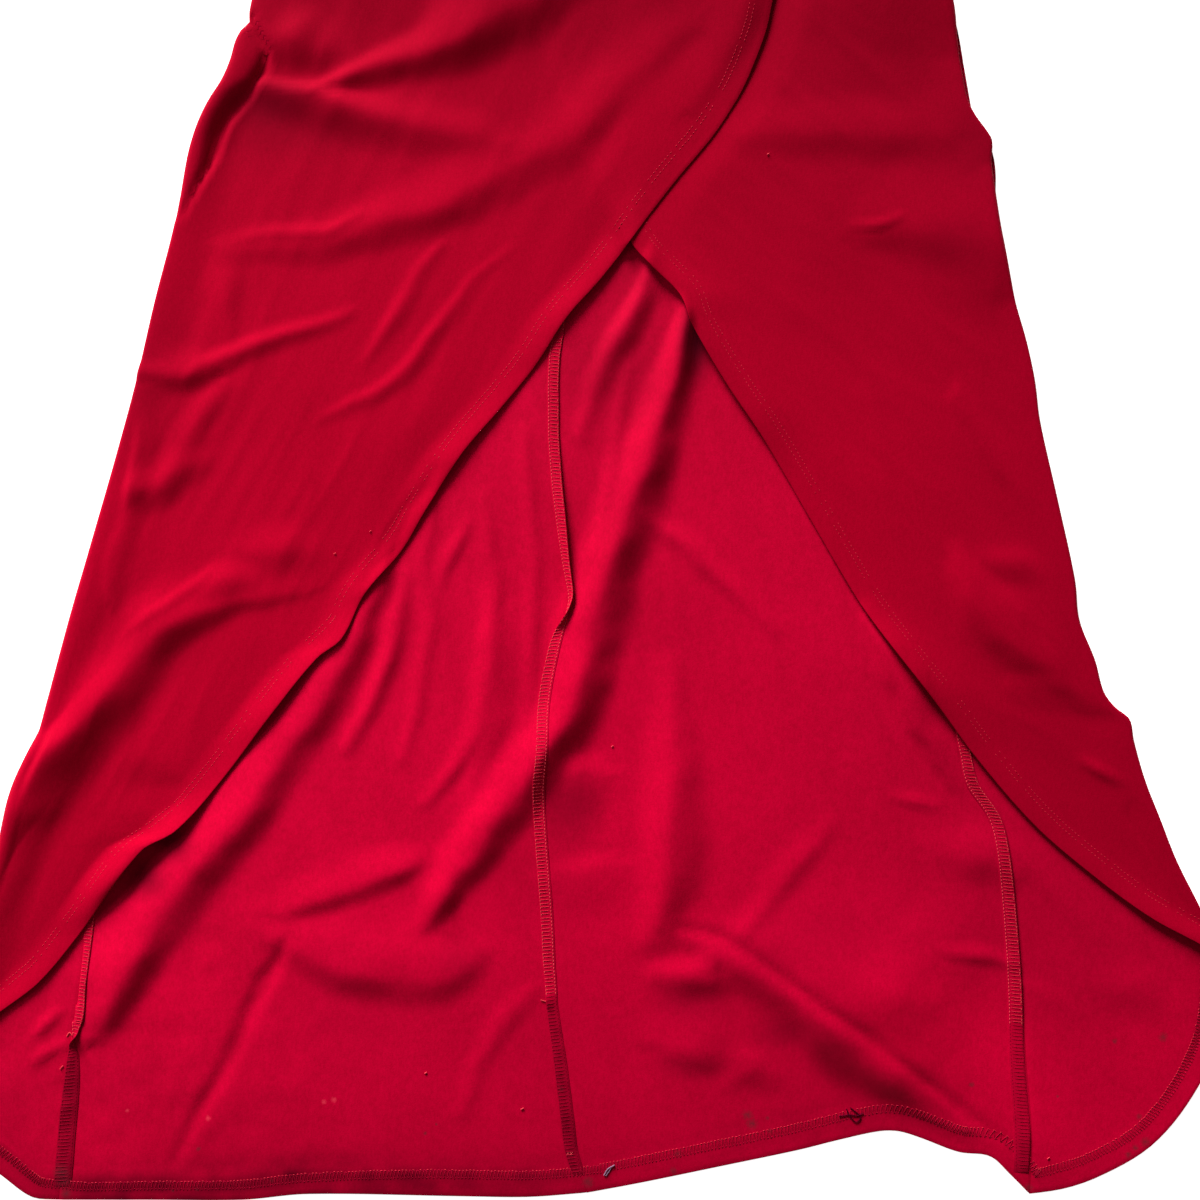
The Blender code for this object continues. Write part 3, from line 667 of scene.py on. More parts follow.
def cellCount(length, cell):
    return int(round(length / cell))


def raised(plan, height):
    return np.concatenate([plan, height[..., None]], axis=2)


def aboveHem(middle):
    # how far each point lies above the hem, along the cloth
    steps = np.linalg.norm(np.diff(middle, axis=0), axis=2)
    return np.concatenate([np.cumsum(steps[::-1], axis=0)[::-1], np.zeros((1, middle.shape[1]))], axis=0)


def turnedHem(near):
    # the turned hem is thicker on the inside
    return cloth["hemExtra"] * smoothStep((cloth["hemDepth"] + 0.8 - near) / 1.6)


def frontPanel(name, side, tip, lines, wrapHem, heightOf, materials):
    # from the side seam beneath, round the side fold, to the free edge on top; side is -1 or 1
    seam, fold, edge = lines
    count = cellCount(cloth["length"], cloth["cell"]) + 1
    wrapCells = cellCount(cloth["wrapWide"], cloth["cell"])
    topCells = cellCount(cloth["frontWide"], cloth["cell"])
    drops = np.linspace(0, tip, count)
    rollHeight = np.interp(drops, *tableOf(rolls[fold]))
    foldLine = np.stack([lineAt(fold, drops), drops], axis=-1)
    floorHeight = bottomHeight(foldLine[:, 0], foldLine[:, 1]) + cloth["wall"] / 2
    radius = (rollHeight - cloth["wall"]) / 2
    inset = foldLine.copy()
    inset[:, 0] -= side * radius
    hem = np.array(hems[wrapHem], float)
    hem[-1] = inset[-1]
    seamLine = downLine(seam, hem[0][1], count, side * 0.15)
    hem[0] = seamLine[-1]
    across = np.linspace(0, 1, wrapCells + 1)
    wrap = coons(seamLine, inset, chain([seamLine[0], inset[0]], across), chain(hem, across))
    wrapZ = bottomHeight(wrap[..., 0], wrap[..., 1]) + cloth["wall"] / 2
    edgeLine = downLine(edge, tip - 5, count)
    across = np.linspace(0, 1, topCells + 1)
    top = coons(inset, edgeLine, chain([inset[0], edgeLine[0]], across),
                chain([inset[-1], edgeLine[-1]], across))
    topZ = heightOf(top[..., 0], top[..., 1]) + cloth["wall"] / 2
    # near the fold the top layer rises on to the roll
    away = np.abs(top[..., 0] - inset[:, None, 0])
    rollTop = (floorHeight + 2 * radius)[:, None]
    onRoll = 1 - smoothStep(away / rolls["rise"])
    topZ = topZ * (1 - onRoll) + np.maximum(topZ, rollTop) * onRoll
    onRoll = 1 - smoothStep(away / rolls["level"])
    topZ = topZ * (1 - onRoll) + topZ[:, :1] * onRoll
    topZ = topZ + foldHeight(fold, top[..., 0], top[..., 1])
    under = bottomHeight(top[..., 0], top[..., 1])
    topZ = np.maximum(topZ, under + cloth["wall"] * 1.5 + cloth["layerGap"] + cloth["hemExtra"])
    radius = (topZ[:, 0] - wrapZ[:, -1]) / 2
    turn = np.linspace(0, math.pi, cloth["rollCells"] + 1)[1:-1]
    arcX = inset[:, None, 0] + side * radius[:, None] * np.sin(turn)
    arcZ = wrapZ[:, -1:] + radius[:, None] * (1 - np.cos(turn))
    arcY = np.repeat(inset[:, None, 1], len(turn), axis=1)
    roll = np.stack([arcX, arcY, arcZ], axis=-1)
    middle = np.concatenate([raised(wrap, wrapZ), roll, raised(top, topZ)], axis=1)
    # the hem is turned along the edge on top and along the lower edge beneath
    lengths = np.linalg.norm(np.diff(middle, axis=1), axis=2)
    fromEdge = np.concatenate([np.cumsum(lengths[:, ::-1], axis=1)[:, ::-1], np.zeros((count, 1))], axis=1)
    lean = np.gradient(edgeLine[:, 0], edgeLine[:, 1])
    fromEdge = fromEdge / np.sqrt(1 + lean ** 2)[:, None]
    extra = turnedHem(np.minimum(fromEdge, aboveHem(middle)))
    darkenedShare = dirtAndShadeAt(middle[..., 0], middle[..., 1])
    darkenedShare[:, wrapCells + cloth["rollCells"] // 2:] = 0
    return clothShell(name, middle, side, extra, materials, darkening=darkenedShare), middle


def backPanel(name, lines, hemName, materials):
    count = cellCount(cloth["length"], cloth["cell"]) + 1
    wide = cellCount(cloth["backWide"], cloth["cell"])
    hem = np.array(hems[hemName], float)
    first = downLine(lines[0], hem[0][1], count, 0.15)
    second = downLine(lines[1], hem[-1][1], count, -0.15)
    hem[0], hem[-1] = first[-1], second[-1]
    across = np.linspace(0, 1, wide + 1)
    plan = coons(first, second, chain([first[0], second[0]], across), chain(hem, across))
    middle = raised(plan, bottomHeight(plan[..., 0], plan[..., 1]) + cloth["wall"] / 2)
    darkenedShare = dirtAndShadeAt(middle[..., 0], middle[..., 1])
    return clothShell(name, middle, 1, turnedHem(aboveHem(middle)), materials, darkening=darkenedShare), middle


bodice = {
    # one side, from the waist by the side seam and the armhole to the shoulder, as (across, height)
    "side": [(190, 0.3), (203, 60), (219, 115), (230, 165), (229, 196), (203, 207), (183, 232), (172, 270),
             (169, 310), (173, 345), (180, 375)],
    "neckHalf": 100.0,
    "neckTop": 399.0,
    "frontDepth": 80.0,
    "backDepth": 25.0,
    "width": 440,         # rough width and length, which set how many cells a panel has
    "length": 400,
    "cell": 5.0,
    "lap": 2.2,           # how much higher the front lies at the waist, over the skirt's seam
}
folds["bodice"] = [
    ridge(16, 26, (-222, -150, 2), (-175, -178, 5), (-120, -190, 4), (-50, -175, 1)),
    ridge(24, 16, (222, -140, 2), (165, -128, 5), (110, -98, 4), (60, -60, 1)),
    ridge(14, 16, (-150, -300, 1), (-126, -250, 3), (-116, -190, 3), (-108, -120, 1)),
    ridge(12, 14, (128, -330, 1), (118, -280, 3), (121, -230, 2), (130, -190, 1)),
    ridge(14, 18, (-190, -8, 1), (-110, -30, 4), (-20, -34, 3), (60, -20, 1)),
    ridge(18, 20, (-60, -90, 1), (10, -70, 3), (90, -66, 3), (150, -80, 1)),
]


def bodicePanel(name, depth, isFront, materials):
    cells = cellCount(bodice["width"], bodice["cell"])
    rows = cellCount(bodice["length"], bodice["cell"])
    parts = np.linspace(0, 1, rows + 1)
    right = chain([(-a, -u) for a, u in bodice["side"]], parts)
    left = chain([(a, -u) for a, u in bodice["side"]], parts)
    shoulder = np.array(bodice["side"][-1])
    turn = np.linspace(0, math.pi, 41)
    neck = np.stack([-bodice["neckHalf"] * np.cos(turn),
                     -bodice["neckTop"] + depth * np.sin(turn) ** 0.8], axis=-1)
    slope = np.linspace(0, 1, 9)[:-1, None]
    first = np.array([-shoulder[0], -shoulder[1]]) * (1 - slope) + neck[0] * slope
    second = np.array([shoulder[0], -shoulder[1]]) * (1 - slope) + neck[-1] * slope
    outline = np.concatenate([first, neck, second[::-1]])
    lengths = runLengths(outline)
    share = np.linspace(0, lengths[-1], cells + 1)
    top = np.stack([np.interp(share, lengths, outline[:, i]) for i in (0, 1)], axis=-1)
    waist = chain([right[0], left[0]], np.linspace(0, 1, cells + 1))
    plan = coons(right, left, waist, top)
    across, drop = plan[..., 0], plan[..., 1]
    height = cloth["wall"] / 2 + np.zeros(across.shape)
    if isFront:
        rim = np.linspace(-1, 1, cells + 1)[None, :]
        inner = smoothStep((1 - np.abs(rim)) * 6) * smoothStep(parts[:, None] * 12 + 0.15)
        inner = inner * smoothStep((1 - parts[:, None]) * 12 + 0.1)
        uneven = lumps(across, drop + 500, ((0.8, 70, 9), (0.4, 31, 10)), 1.3)
        lap = bodice["lap"] * (1 - smoothStep(-drop / 40))
        height += cloth["wall"] + cloth["layerGap"] + lap
        height += (foldHeight("bodice", across, drop) + uneven) * inner
    middle = raised(plan, height)
    return clothShell(name, middle, 1 if isFront else -1, np.zeros(across.shape), materials), middle


class Number:
    # a shader value that sums and products can be written with
    def __init__(self, recipe, socket):
        self.recipe, self.socket = recipe, socket

    def work(self, operation, first, second=0.0):
        made = self.recipe.node("ShaderNodeMath", {"operation": operation}, {0: first, 1: second})
        return Number(self.recipe, made.outputs[0])

    def __add__(self, other):
        return self.work("ADD", self, other)

    def __mul__(self, other):
        return self.work("MULTIPLY", self, other)

    def __sub__(self, other):
        return self.work("SUBTRACT", self, other)

    def __rsub__(self, other):
        return self.work("SUBTRACT", other, self)

    __radd__ = __add__
    __rmul__ = __mul__


class Recipe:
    # a material and the nodes that make it; even holds what is the same all over the surface
    def __init__(self, name, even):
        self.material = bpy.data.materials.new(name)
        self.material.use_nodes = True
        self.tree = self.material.node_tree
        self.shader = self.tree.nodes["Principled BSDF"]
        for socket, value in even.items():
            self.shader.inputs[socket].default_value = value

    def fill(self, socket, value):
        if isinstance(value, Number):
            value = value.socket
        if isinstance(value, bpy.types.NodeSocket):
            self.tree.links.new(value, socket)
        else:
            socket.default_value = value

    def node(self, kind, settings=None, sockets=None):
        made = self.tree.nodes.new(kind)
        for key, value in (settings or {}).items():
            setattr(made, key, value)
        for key, value in (sockets or {}).items():
            self.fill(made.inputs[key], value)
        return made

    def places(self):
        return self.node("ShaderNodeTexCoord").outputs["Object"]

    def noise(self, size, detail, stretch=None):
        # unevenness from 0 to 1, its patches about size metres wide
        vector = self.places()
        if stretch:
            vector = self.node("ShaderNodeMapping", None, {"Vector": vector, "Rotation": stretch[0],
                                                           "Scale": stretch[1]}).outputs[0]
        sockets = {"Vector": vector, "Scale": 1 / size, "Detail": detail, "Roughness": 0.6}
        return Number(self, self.node("ShaderNodeTexNoise", None, sockets).outputs[0])

    def spots(self, marks):
        # 1 inside any of the marks, ragged at their edges
        ragged = self.noise(0.0016, 2)
        place = self.places()
        total = None
        for across, drop, radius in marks:
            flat = self.node("ShaderNodeVectorMath", {"operation": "MULTIPLY"}, {0: place, 1: (1, 1, 0)})
            away = self.node("ShaderNodeVectorMath", {"operation": "DISTANCE"},
                             {0: flat.outputs[0], 1: spotAt(across, drop)})
            share = 1 - Number(self, away.outputs["Value"]) * (1000 / radius) + (ragged - 0.5) * 1.2
            share = share.work("MAXIMUM", share, 0.0)
            total = share if total is None else total.work("MAXIMUM", total, share)
        return total.work("MINIMUM", total, 1.0)

    def attribute(self, name):
        return Number(self, self.node("ShaderNodeAttribute", {"attribute_name": name}).outputs["Fac"])

    def mix(self, share, first, second):
        made = self.node("ShaderNodeMix", {"data_type": "RGBA", "clamp_factor": True},
                         {0: share, 6: first, 7: second})
        return made.outputs[2]

    def bump(self, height, deep):
        sockets = {"Height": height, "Distance": deep, "Strength": 1.0}
        return self.node("ShaderNodeBump", None, sockets).outputs[0]

    def finish(self, colour, normal=None):
        self.fill(self.shader.inputs["Base Color"], colour)
        if normal is not None:
            self.fill(self.shader.inputs["Normal"], normal)
        return self.material


crepe = {
    "outside": (0.402, 0.0, 0.0165, 1),
    "outsideDeep": (0.322, 0.0, 0.0118, 1),
    "inside": (0.54, 0.0, 0.0265, 1),
    "insideDeep": (0.41, 0.0, 0.0175, 1),
    # the dark colour that the darkening attribute mixes in: painted shade and the hem's dirt
    "shade": (0.05, 0.0, 0.004, 1),
    # the colour of the real stains in soilSpots
    "darkening": (0.045, 0.014, 0.018, 1),
    "pale": (0.78, 0.06, 0.1, 1),
    "pebble": 0.0011,       # size of the crepe's grain
    "pebbleDeep": 0.00010,
    "paintedSheen": 0.006,         # size of the inner side's soft mottling, a painted sheen
    "cloud": 0.07,          # size of the broad unevenness in its colour
    "sheen": (1.0, 0.0, 0.12, 1),
    "sheenWeight": 0.06,
    "sheenRoughness": 0.45,
    "roughness": 0.82,
    "outsideGloss": 0.1,
    "insideGloss": 0.35,
    "soilShare": 0.6,       # how strong the marks on the inner side are
    "paleShare": 0.4,
    # small marks on the inner side as (across, drop, radius)
    "soilSpots": [(128, 996, 1.8), (114, 994, 4.5), (117, 1000, 5), (130, 1005, 2.4), (-112, 1006.5, 1.8),
        (-104, 1000, 1.4), (-271, 1017.5, 2), (-289, 1047, 1.5), (-272, 1046, 1.8), (-219.5, 1040, 2),
        (-16.5, 975, 2.2), (271, 972.5, 2.6), (331, 980.5, 1.4), (405, 939, 4), (371, 942, 2.4),
        (388.5, 995, 2.6), (393, 1013, 4.5), (386, 1017, 3), (381, 1022, 3), (65, 1021, 3.4),
        (62, 1033, 3.2), (2, 1041, 5), (-367, 1034, 7), (-365, 1041, 7), (-364, 1049, 5), (311, 1045, 4)],
    "paleSpots": [(-264, 996, 2.4), (-183, 984.5, 2.2), (-176, 983, 2.4), (-320.6, 990.5, 1.8)],
}


def crepeMaterial(name, side):
    fabric = Recipe(name, {"Roughness": crepe["roughness"], "Specular IOR Level": crepe[side + "Gloss"],
                           "Specular Tint": crepe["sheen"], "Sheen Weight": crepe["sheenWeight"],
                           "Sheen Roughness": crepe["sheenRoughness"], "Sheen Tint": crepe["sheen"]})
    grain = fabric.noise(crepe["pebble"], 3)
    weave = fabric.noise(crepe["pebble"] * 1.6, 1, ((0, 0, 0.6), (1, 0.45, 1)))
    cloudy = fabric.noise(crepe["cloud"], 2)
    share = (grain - 0.5) * 1.5 + (weave - 0.5) * 1.2 + (cloudy - 0.5) * 0.7 + 0.45
    if side == "inside":
        # painted sheen: soft random mottling that stands in for the inner side's satin sheen
        share = share + (fabric.noise(crepe["paintedSheen"], 2) - 0.5) * 0.9
    colour = fabric.mix(share, crepe[side], crepe[side + "Deep"])
    # painted shade and light, and the hem's dirt, from the darkening attribute
    colour = fabric.mix(fabric.attribute("darkening"), colour, crepe["shade"])
    if side == "inside":
        colour = fabric.mix(fabric.spots(crepe["soilSpots"]) * crepe["soilShare"], colour, crepe["darkening"])
        colour = fabric.mix(fabric.spots(crepe["paleSpots"]) * crepe["paleShare"], colour, crepe["pale"])
    return fabric.finish(colour, fabric.bump(grain * 0.6 + weave * 0.4, crepe["pebbleDeep"]))


threadLook = {
    "roughness": 0.5,
    "gloss": 0.5,
    "ply": 0.0009,       # size of the change between the two colours
}
# the lighter and the deeper colour of each thread
threadColours = {
    "dullThread": ((0.30, 0.002, 0.018, 1), (0.17, 0.001, 0.010, 1)),
    "redThread": ((0.46, 0.006, 0.034, 1), (0.25, 0.002, 0.016, 1)),
    "paleThread": ((0.75, 0.075, 0.09, 1), (0.48, 0.02, 0.04, 1)),
    "coralThread": ((0.62, 0.035, 0.055, 1), (0.38, 0.008, 0.025, 1)),
    "greyThread": ((0.26, 0.19, 0.30, 1), (0.13, 0.07, 0.11, 1)),
    "darkThread": ((0.05, 0.0, 0.008, 1), (0.02, 0.0, 0.003, 1)),
}


def threadMaterial(name, light, deep):
    thread = Recipe(name, {"Roughness": threadLook["roughness"], "Specular IOR Level": threadLook["gloss"],
                           "Specular Tint": crepe["sheen"]})
    return thread.finish(thread.mix(thread.noise(threadLook["ply"], 1), light, deep))


def plainMaterial(name, colour, glow):
    white = (1, 1, 1, 1)
    plain = Recipe(name, {"Roughness": 0.9, "Emission Color": white, "Emission Strength": glow,
                          "Specular IOR Level": 0.0})
    return plain.finish(plain.mix(plain.noise(0.5, 1) * 0.04, colour, white))


bothFaces = [crepeMaterial("crepeOutside", "outside"), crepeMaterial("crepeInside", "inside")]
threadMaterials = {name: threadMaterial(name, *colours) for name, colours in threadColours.items()}
pieces = {}
grids = {}


def keepPanel(built, node):
    piece, middle = built
    pieces[node] = piece
    grids[node] = middle
    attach(piece, "root")
    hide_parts(node)


keepPanel(frontPanel("front_right", -1, cloth["rightTip"], ("rightSeam", "rightFold", "overEdge"),
                     "rightWrap", overHeight, bothFaces), "skirt_front_right")
keepPanel(frontPanel("front_left", 1, cloth["leftTip"], ("leftSeam", "leftFold", "underEdge"), "leftWrap",
                     underHeight, bothFaces), "skirt_front_left")
keepPanel(backPanel("back_right", ("rightSeam", "backSeam"), "backRight", bothFaces), "skirt_back_right")
keepPanel(backPanel("back_left", ("backSeam", "leftSeam"), "backLeft", bothFaces), "skirt_back_left")
keepPanel(bodicePanel("bodice_front_cloth", bodice["frontDepth"], True, bothFaces), "bodice_front")
keepPanel(bodicePanel("bodice_back_cloth", bodice["backDepth"], False, bothFaces), "bodice_back")
print("panels made", len(pieces))


def findTop(names):
    # finds the height of the named pieces at any place, in millimetres
    spots, corners = [], []
    for name in names:
        mesh = pieces[name].data
        points = np.zeros(len(mesh.vertices) * 3, np.float32)
        mesh.vertices.foreach_get("co", points)
        loops = np.zeros(len(mesh.loops), np.int32)
        mesh.loops.foreach_get("vertex_index", loops)
        corners += (loops.reshape(-1, 4) + len(spots)).tolist()
        spots += points.reshape(-1, 3).tolist()
    tree = BVHTree.FromPolygons(spots, corners)

    def top(across, drop):
        hit = tree.ray_cast(spotAt(across, drop, 200), Vector((0, 0, -1)))[0]
        return None if hit is None else hit.z / mm

    return top


backTop = findTop([name for name in pieces if name.startswith("skirt_back")]
                  + ["skirt_front_right", "skirt_front_left"])
insideTop = findTop(["skirt_back_right", "skirt_back_left"])


# The overlocked seam allowances inside the skirt.
strip = {
    "thick": 0.36,
    "step": 2.4,           # grid step along it
    "across": 5,           # points across it
    "pitch": 2.5,          # between one stitch and the next
    "thread": 0.19,
    "rowThread": 0.26,
    "darkShare": 0.75,   # how thick the darker thread looks beside the lighter one
    "edgeShare": 0.8,      # share of the loops that show at the free edge
    "sink": 8.0,           # length at the end that goes into the hem
    "clear": 0.06,         # gap between it and the cloth
}
# Each row is (drop, root, lean, width): root is how far the strip starts from the seam line, and lean is 0
# where it lies towards +X and 180 where it lies towards -X. Its threads are the lighter kind down to the drop
# in darkerBelow. darkening is (drop, share of the dark colour mixed in), more towards the hem.
strips = {
    "centre": {"line": "backSeam", "darkerBelow": 908.0, "rows": [
        (392, -6, 0, 8), (444, -7, 0, 8), (493, -4, 2, 8), (521, -5, 8, 8), (549, -5, 19, 8),
        (577, -4, 32, 8), (605, -2.5, 44, 7), (628, 0, 56, 6), (640, 1, 84, 4.2), (646, 2, 132, 4.2),
        (656, 3, 176, 7), (668, 3, 178, 8), (738, 5, 180, 8.2), (801, 5, 180, 8.5),
        (880, 4.5, 179, 8.5), (905, 5, 174, 8), (914, 4.6, 160, 8), (922, 4.8, 170, 8),
        (960, 5, 174, 9), (1021, 5, 175, 9), (1036, 4, 176, 8.5)],
        "darkening": [(740, 0.05), (905, 0.08), (925, 0.3), (1036, 0.45)]},
    "left": {"line": "leftSeam", "darkerBelow": 930.0, "rows": [
        (700, 0, 6, 8), (730, 0, 3, 8), (744, 0, 2, 8), (762, -2.5, 2, 9), (784, -9, 4, 9),
        (804, -10, 6, 9), (847, -10, 7, 9.5), (901, -11, 6, 10), (954, -12, 3, 10.5),
        (1008, -12.5, 2, 11), (1034, -12, 1, 10)],
        "darkening": [(900, 0.05), (970, 0.16), (1010, 0.3), (1034, 0.42)]},
    "right": {"line": "rightSeam", "darkerBelow": 936.0, "rows": [
        (840, -2, 1, 8), (867, -2, 1, 8), (905, -3, 2, 8), (926, -1, 8, 8), (936, 1, 30, 4.4),
        (944, 4, 154, 4.4), (954, 7, 170, 8), (976, 8.5, 174, 11), (1010, 8.5, 176, 12), (1044, 8, 176, 12)],
        "darkening": [(920, 0.06), (945, 0.34), (1038, 0.5)]},
}


def makeStrip(name, line, rows, darkening):
    # a ribbon of two turned-up allowances along a seam; gives the piece and the grid of its middle
    rows = np.array(rows, float)
    count = int((rows[-1, 0] - rows[0, 0]) / strip["step"]) + 1
    drops = np.linspace(rows[0, 0], rows[-1, 0], count)
    root, lean, width = [np.interp(drops, *tableOf(rows[:, [0, i]])) for i in (1, 2, 3)]
    lean += 3 * softNoise(drops * 0, drops, 26, 31)
    start = lineAt(line, drops) + root
    sink = smoothStep((drops - rows[-1, 0] + strip["sink"]) / strip["sink"])
    tilt = np.radians(lean)
    middle = np.zeros((count, strip["across"], 3))
    for i, drop in enumerate(drops):
        floorHeight = max(insideTop(start[i] + shift, drop) or 0 for shift in (-0.6, 0, 0.6))
        for j in range(strip["across"]):
            out = width[i] * j / (strip["across"] - 1)
            across = start[i] + math.cos(tilt[i]) * out
            under = insideTop(across, drop) or floorHeight
            standing = float(smoothStep((math.sin(tilt[i]) - 0.25) / 0.4))
            level = under + (floorHeight - under) * standing + math.sin(tilt[i]) * out
            level = max(level, under) + strip["clear"] - (strip["thick"] + strip["clear"]) * sink[i]
            middle[i, j] = across, drop, level + strip["thick"] / 2
    patchy = 1 + 0.3 * softNoise(middle[..., 0], middle[..., 1], 6, 43)
    darkenedShare = np.interp(middle[..., 1], *zip(*darkening)) * patchy
    piece = clothShell(name, middle, 1, np.zeros(middle.shape[:2]), bothFaces, strip["thick"], darkenedShare)
    for polygon in piece.data.polygons:
        polygon.material_index = 1
    return piece, middle


def threadTree():
    # turns a mesh of edges into round threads
    tree = bpy.data.node_groups.new("threads", "GeometryNodeTree")
    sockets = tree.interface
    sockets.new_socket("Geometry", in_out="INPUT", socket_type="NodeSocketGeometry")
    for name, kind in (("Radius", "Float"), ("Sides", "Int"), ("Material", "Material")):
        sockets.new_socket(name, in_out="INPUT", socket_type="NodeSocket" + kind)
    sockets.new_socket("Geometry", in_out="OUTPUT", socket_type="NodeSocketGeometry")
    start, end = tree.nodes.new("NodeGroupInput"), tree.nodes.new("NodeGroupOutput")
    toCurve = tree.nodes.new("GeometryNodeMeshToCurve")
    ring = tree.nodes.new("GeometryNodeCurvePrimitiveCircle")
    sweep = tree.nodes.new("GeometryNodeCurveToMesh")
    sweep.inputs["Fill Caps"].default_value = True
    real = tree.nodes.new("GeometryNodeRealizeInstances")
    paint = tree.nodes.new("GeometryNodeSetMaterial")
    joins = [(start.outputs["Geometry"], toCurve.inputs[0]), (start.outputs["Radius"], ring.inputs["Radius"]),
             (start.outputs["Sides"], ring.inputs["Resolution"]), (toCurve.outputs[0], sweep.inputs["Curve"]),
             (ring.outputs[0], sweep.inputs["Profile Curve"]), (sweep.outputs[0], real.inputs[0]),
             (real.outputs[0], paint.inputs["Geometry"]), (paint.outputs[0], end.inputs[0]),
             (start.outputs["Material"], paint.inputs["Material"])]
    for output, socket in joins:
        tree.links.new(output, socket)
    return tree


threads = threadTree()


def makeThreads(name, paths, radius, material, sides):
    # each path is a short list of (across, drop, height)
    points, edges = [], []
    for path in paths:
        edges += [(len(points) + i, len(points) + i + 1) for i in range(len(path) - 1)]
        points += [spotAt(*point) for point in path]
    mesh = bpy.data.meshes.new(name + "Paths")
    mesh.from_pydata(points, edges, [])
    guide = addObject(name + "Paths", mesh)
    modifier = guide.modifiers.new("threads", "NODES")
    modifier.node_group = threads
    ids = {item.name: item.identifier for item in threads.interface.items_tree if item.in_out == "INPUT"}
    modifier[ids["Radius"]] = radius * mm
    modifier[ids["Sides"]] = sides
    modifier[ids["Material"]] = material
    bpy.context.view_layer.update()
    made = bpy.data.meshes.new_from_object(guide.evaluated_get(bpy.context.evaluated_depsgraph_get()))
    bpy.data.objects.remove(guide)
    made.name = name
    made.shade_smooth()
    return addObject(name, made)


def seamOverlock(middle):
    # loops over the strip's free edge, and the rows of stitches beside its root and its free edge
    lengths = runLengths(middle[:, 0])
    rng = np.random.default_rng(7)
    half = strip["thick"] / 2 + strip["thread"] * 0.6

    def spot(at, part, lift):
        row = np.interp(at, lengths, np.arange(len(lengths)))
        i = min(int(row), len(middle) - 2)
        cells = part * (middle.shape[1] - 1)
        j = min(int(cells), middle.shape[1] - 2)
        u, v = cells - j, row - i
        corner = middle[i:i + 2, j:j + 2]
        point = ((corner[0, 0] * (1 - u) + corner[0, 1] * u) * (1 - v)
                 + (corner[1, 0] * (1 - u) + corner[1, 1] * u) * v)
        wide = corner[0, 1] - corner[0, 0]
        long = corner[1, 0] - corner[0, 0]
        up = np.cross(wide, long)
        up /= np.linalg.norm(up)
        if wide[0] < 0:
            up = -up
        return point - up * lift if up[2] < 0 else point + up * lift

    def stitch(at, points):
        return [spot(at + along, part, lift) for along, part, lift in points]

    # each stitch as points of (along, share of the width, height)
    pitch = strip["pitch"]
    loop = ((0, 0.24, half - 0.15), (0.3, 0.5, half + 0.05), (0.5, 0.8, half), (0.6, 0.985, half - 0.1),
            (0.9, 1.0, -0.2))
    rootStitch = ((0, 0.13, half - 0.3), (0.5, 0.13, half + 0.05), (pitch * 0.5, 0.13, half + 0.05),
                  (pitch * 0.66, 0.13, half - 0.35))
    edgeStitch = ((0.4, 0.92, half), (pitch * 0.4, 0.95, half + 0.05), (pitch * 0.75, 0.93, half - 0.1))
    strokes, rows = [], []
    for at in np.arange(pitch, lengths[-1] - pitch, pitch):
        shift = rng.uniform(-0.25, 0.25)
        strokes.append(stitch(at + shift, loop))
        rows.append(stitch(at, rootStitch))
        if rng.uniform() < strip["edgeShare"]:
            rows.append(stitch(at, edgeStitch))
    return strokes, rows


stripPieces = {}
overlock, overlockRows, darkOverlock = [], [], []
for name, row in strips.items():
    stripPieces[name], middle = makeStrip(name + "SeamAllowance", row["line"], row["rows"], row["darkening"])
    strokes, rows = seamOverlock(middle)
    overlock += [path for path in strokes if path[0][1] < row["darkerBelow"]]
    overlockRows += [path for path in rows if path[0][1] < row["darkerBelow"]]
    darkOverlock += [path for path in strokes + rows if path[0][1] >= row["darkerBelow"]]
print("seam allowances made", len(stripPieces))


def evenLine(points, step):
    # points evenly along a smooth line, with the directions ahead and to the left
    line = chain(points, np.linspace(0, 1, 60 * len(points)))
    lengths = runLengths(line)
    places = np.arange(0, lengths[-1], step)
    even = np.stack([np.interp(places, lengths, line[:, i]) for i in (0, 1)], axis=-1)
    ahead = np.gradient(even, axis=0)
    ahead /= np.maximum(np.linalg.norm(ahead, axis=1, keepdims=True), 1e-9)
    return even, ahead, np.stack([ahead[:, 1], -ahead[:, 0]], axis=-1)


def layThread(top, places, lifts):
    # a path on the cloth, or nothing where it would leave the cloth
    heights = [top(x, y) for x, y in places]
    if any(height is None for height in heights):
        return None
    return [(x, y, height + lift) for (x, y), height, lift in zip(places, heights, lifts)]


def rowPaths(points, offset, top):
    # dashes of thread along a line, offset to its left
    rng = np.random.default_rng(11)
    paths = []
    for place, ahead, left in zip(*evenLine(points, stitches["pitch"])):
        middle = place + left * (offset + rng.uniform(-0.15, 0.15))
        spots = [middle + ahead * part * stitches["length"] for part in (-0.5, -0.25, 0.25, 0.5)]
        path = layThread(top, spots, (-0.2, 0.07, 0.07, -0.2))
        if path and rng.uniform() < stitches["shown"]:
            paths.append(path)
    return paths


def dotPaths(points, top):
    # the needle stitches that show as dots along the top of the band
    rng = np.random.default_rng(13)
    paths = []
    for place, ahead, left in zip(*evenLine(points, stitches["bandPitch"])):
        shift = np.interp(place[0], *zip(*stitches["bandShift"])) + stitches["band"][1]
        middle = place + left * (shift + rng.uniform(-0.25, 0.25))
        spots = [middle + ahead * part * stitches["dotLength"] for part in (-0.5, 0, 0.5)]
        path = layThread(top, spots, (0.1, 0.34, 0.1))
        if path and rng.uniform() < stitches["dotsShown"]:
            paths.append(path)
    return paths


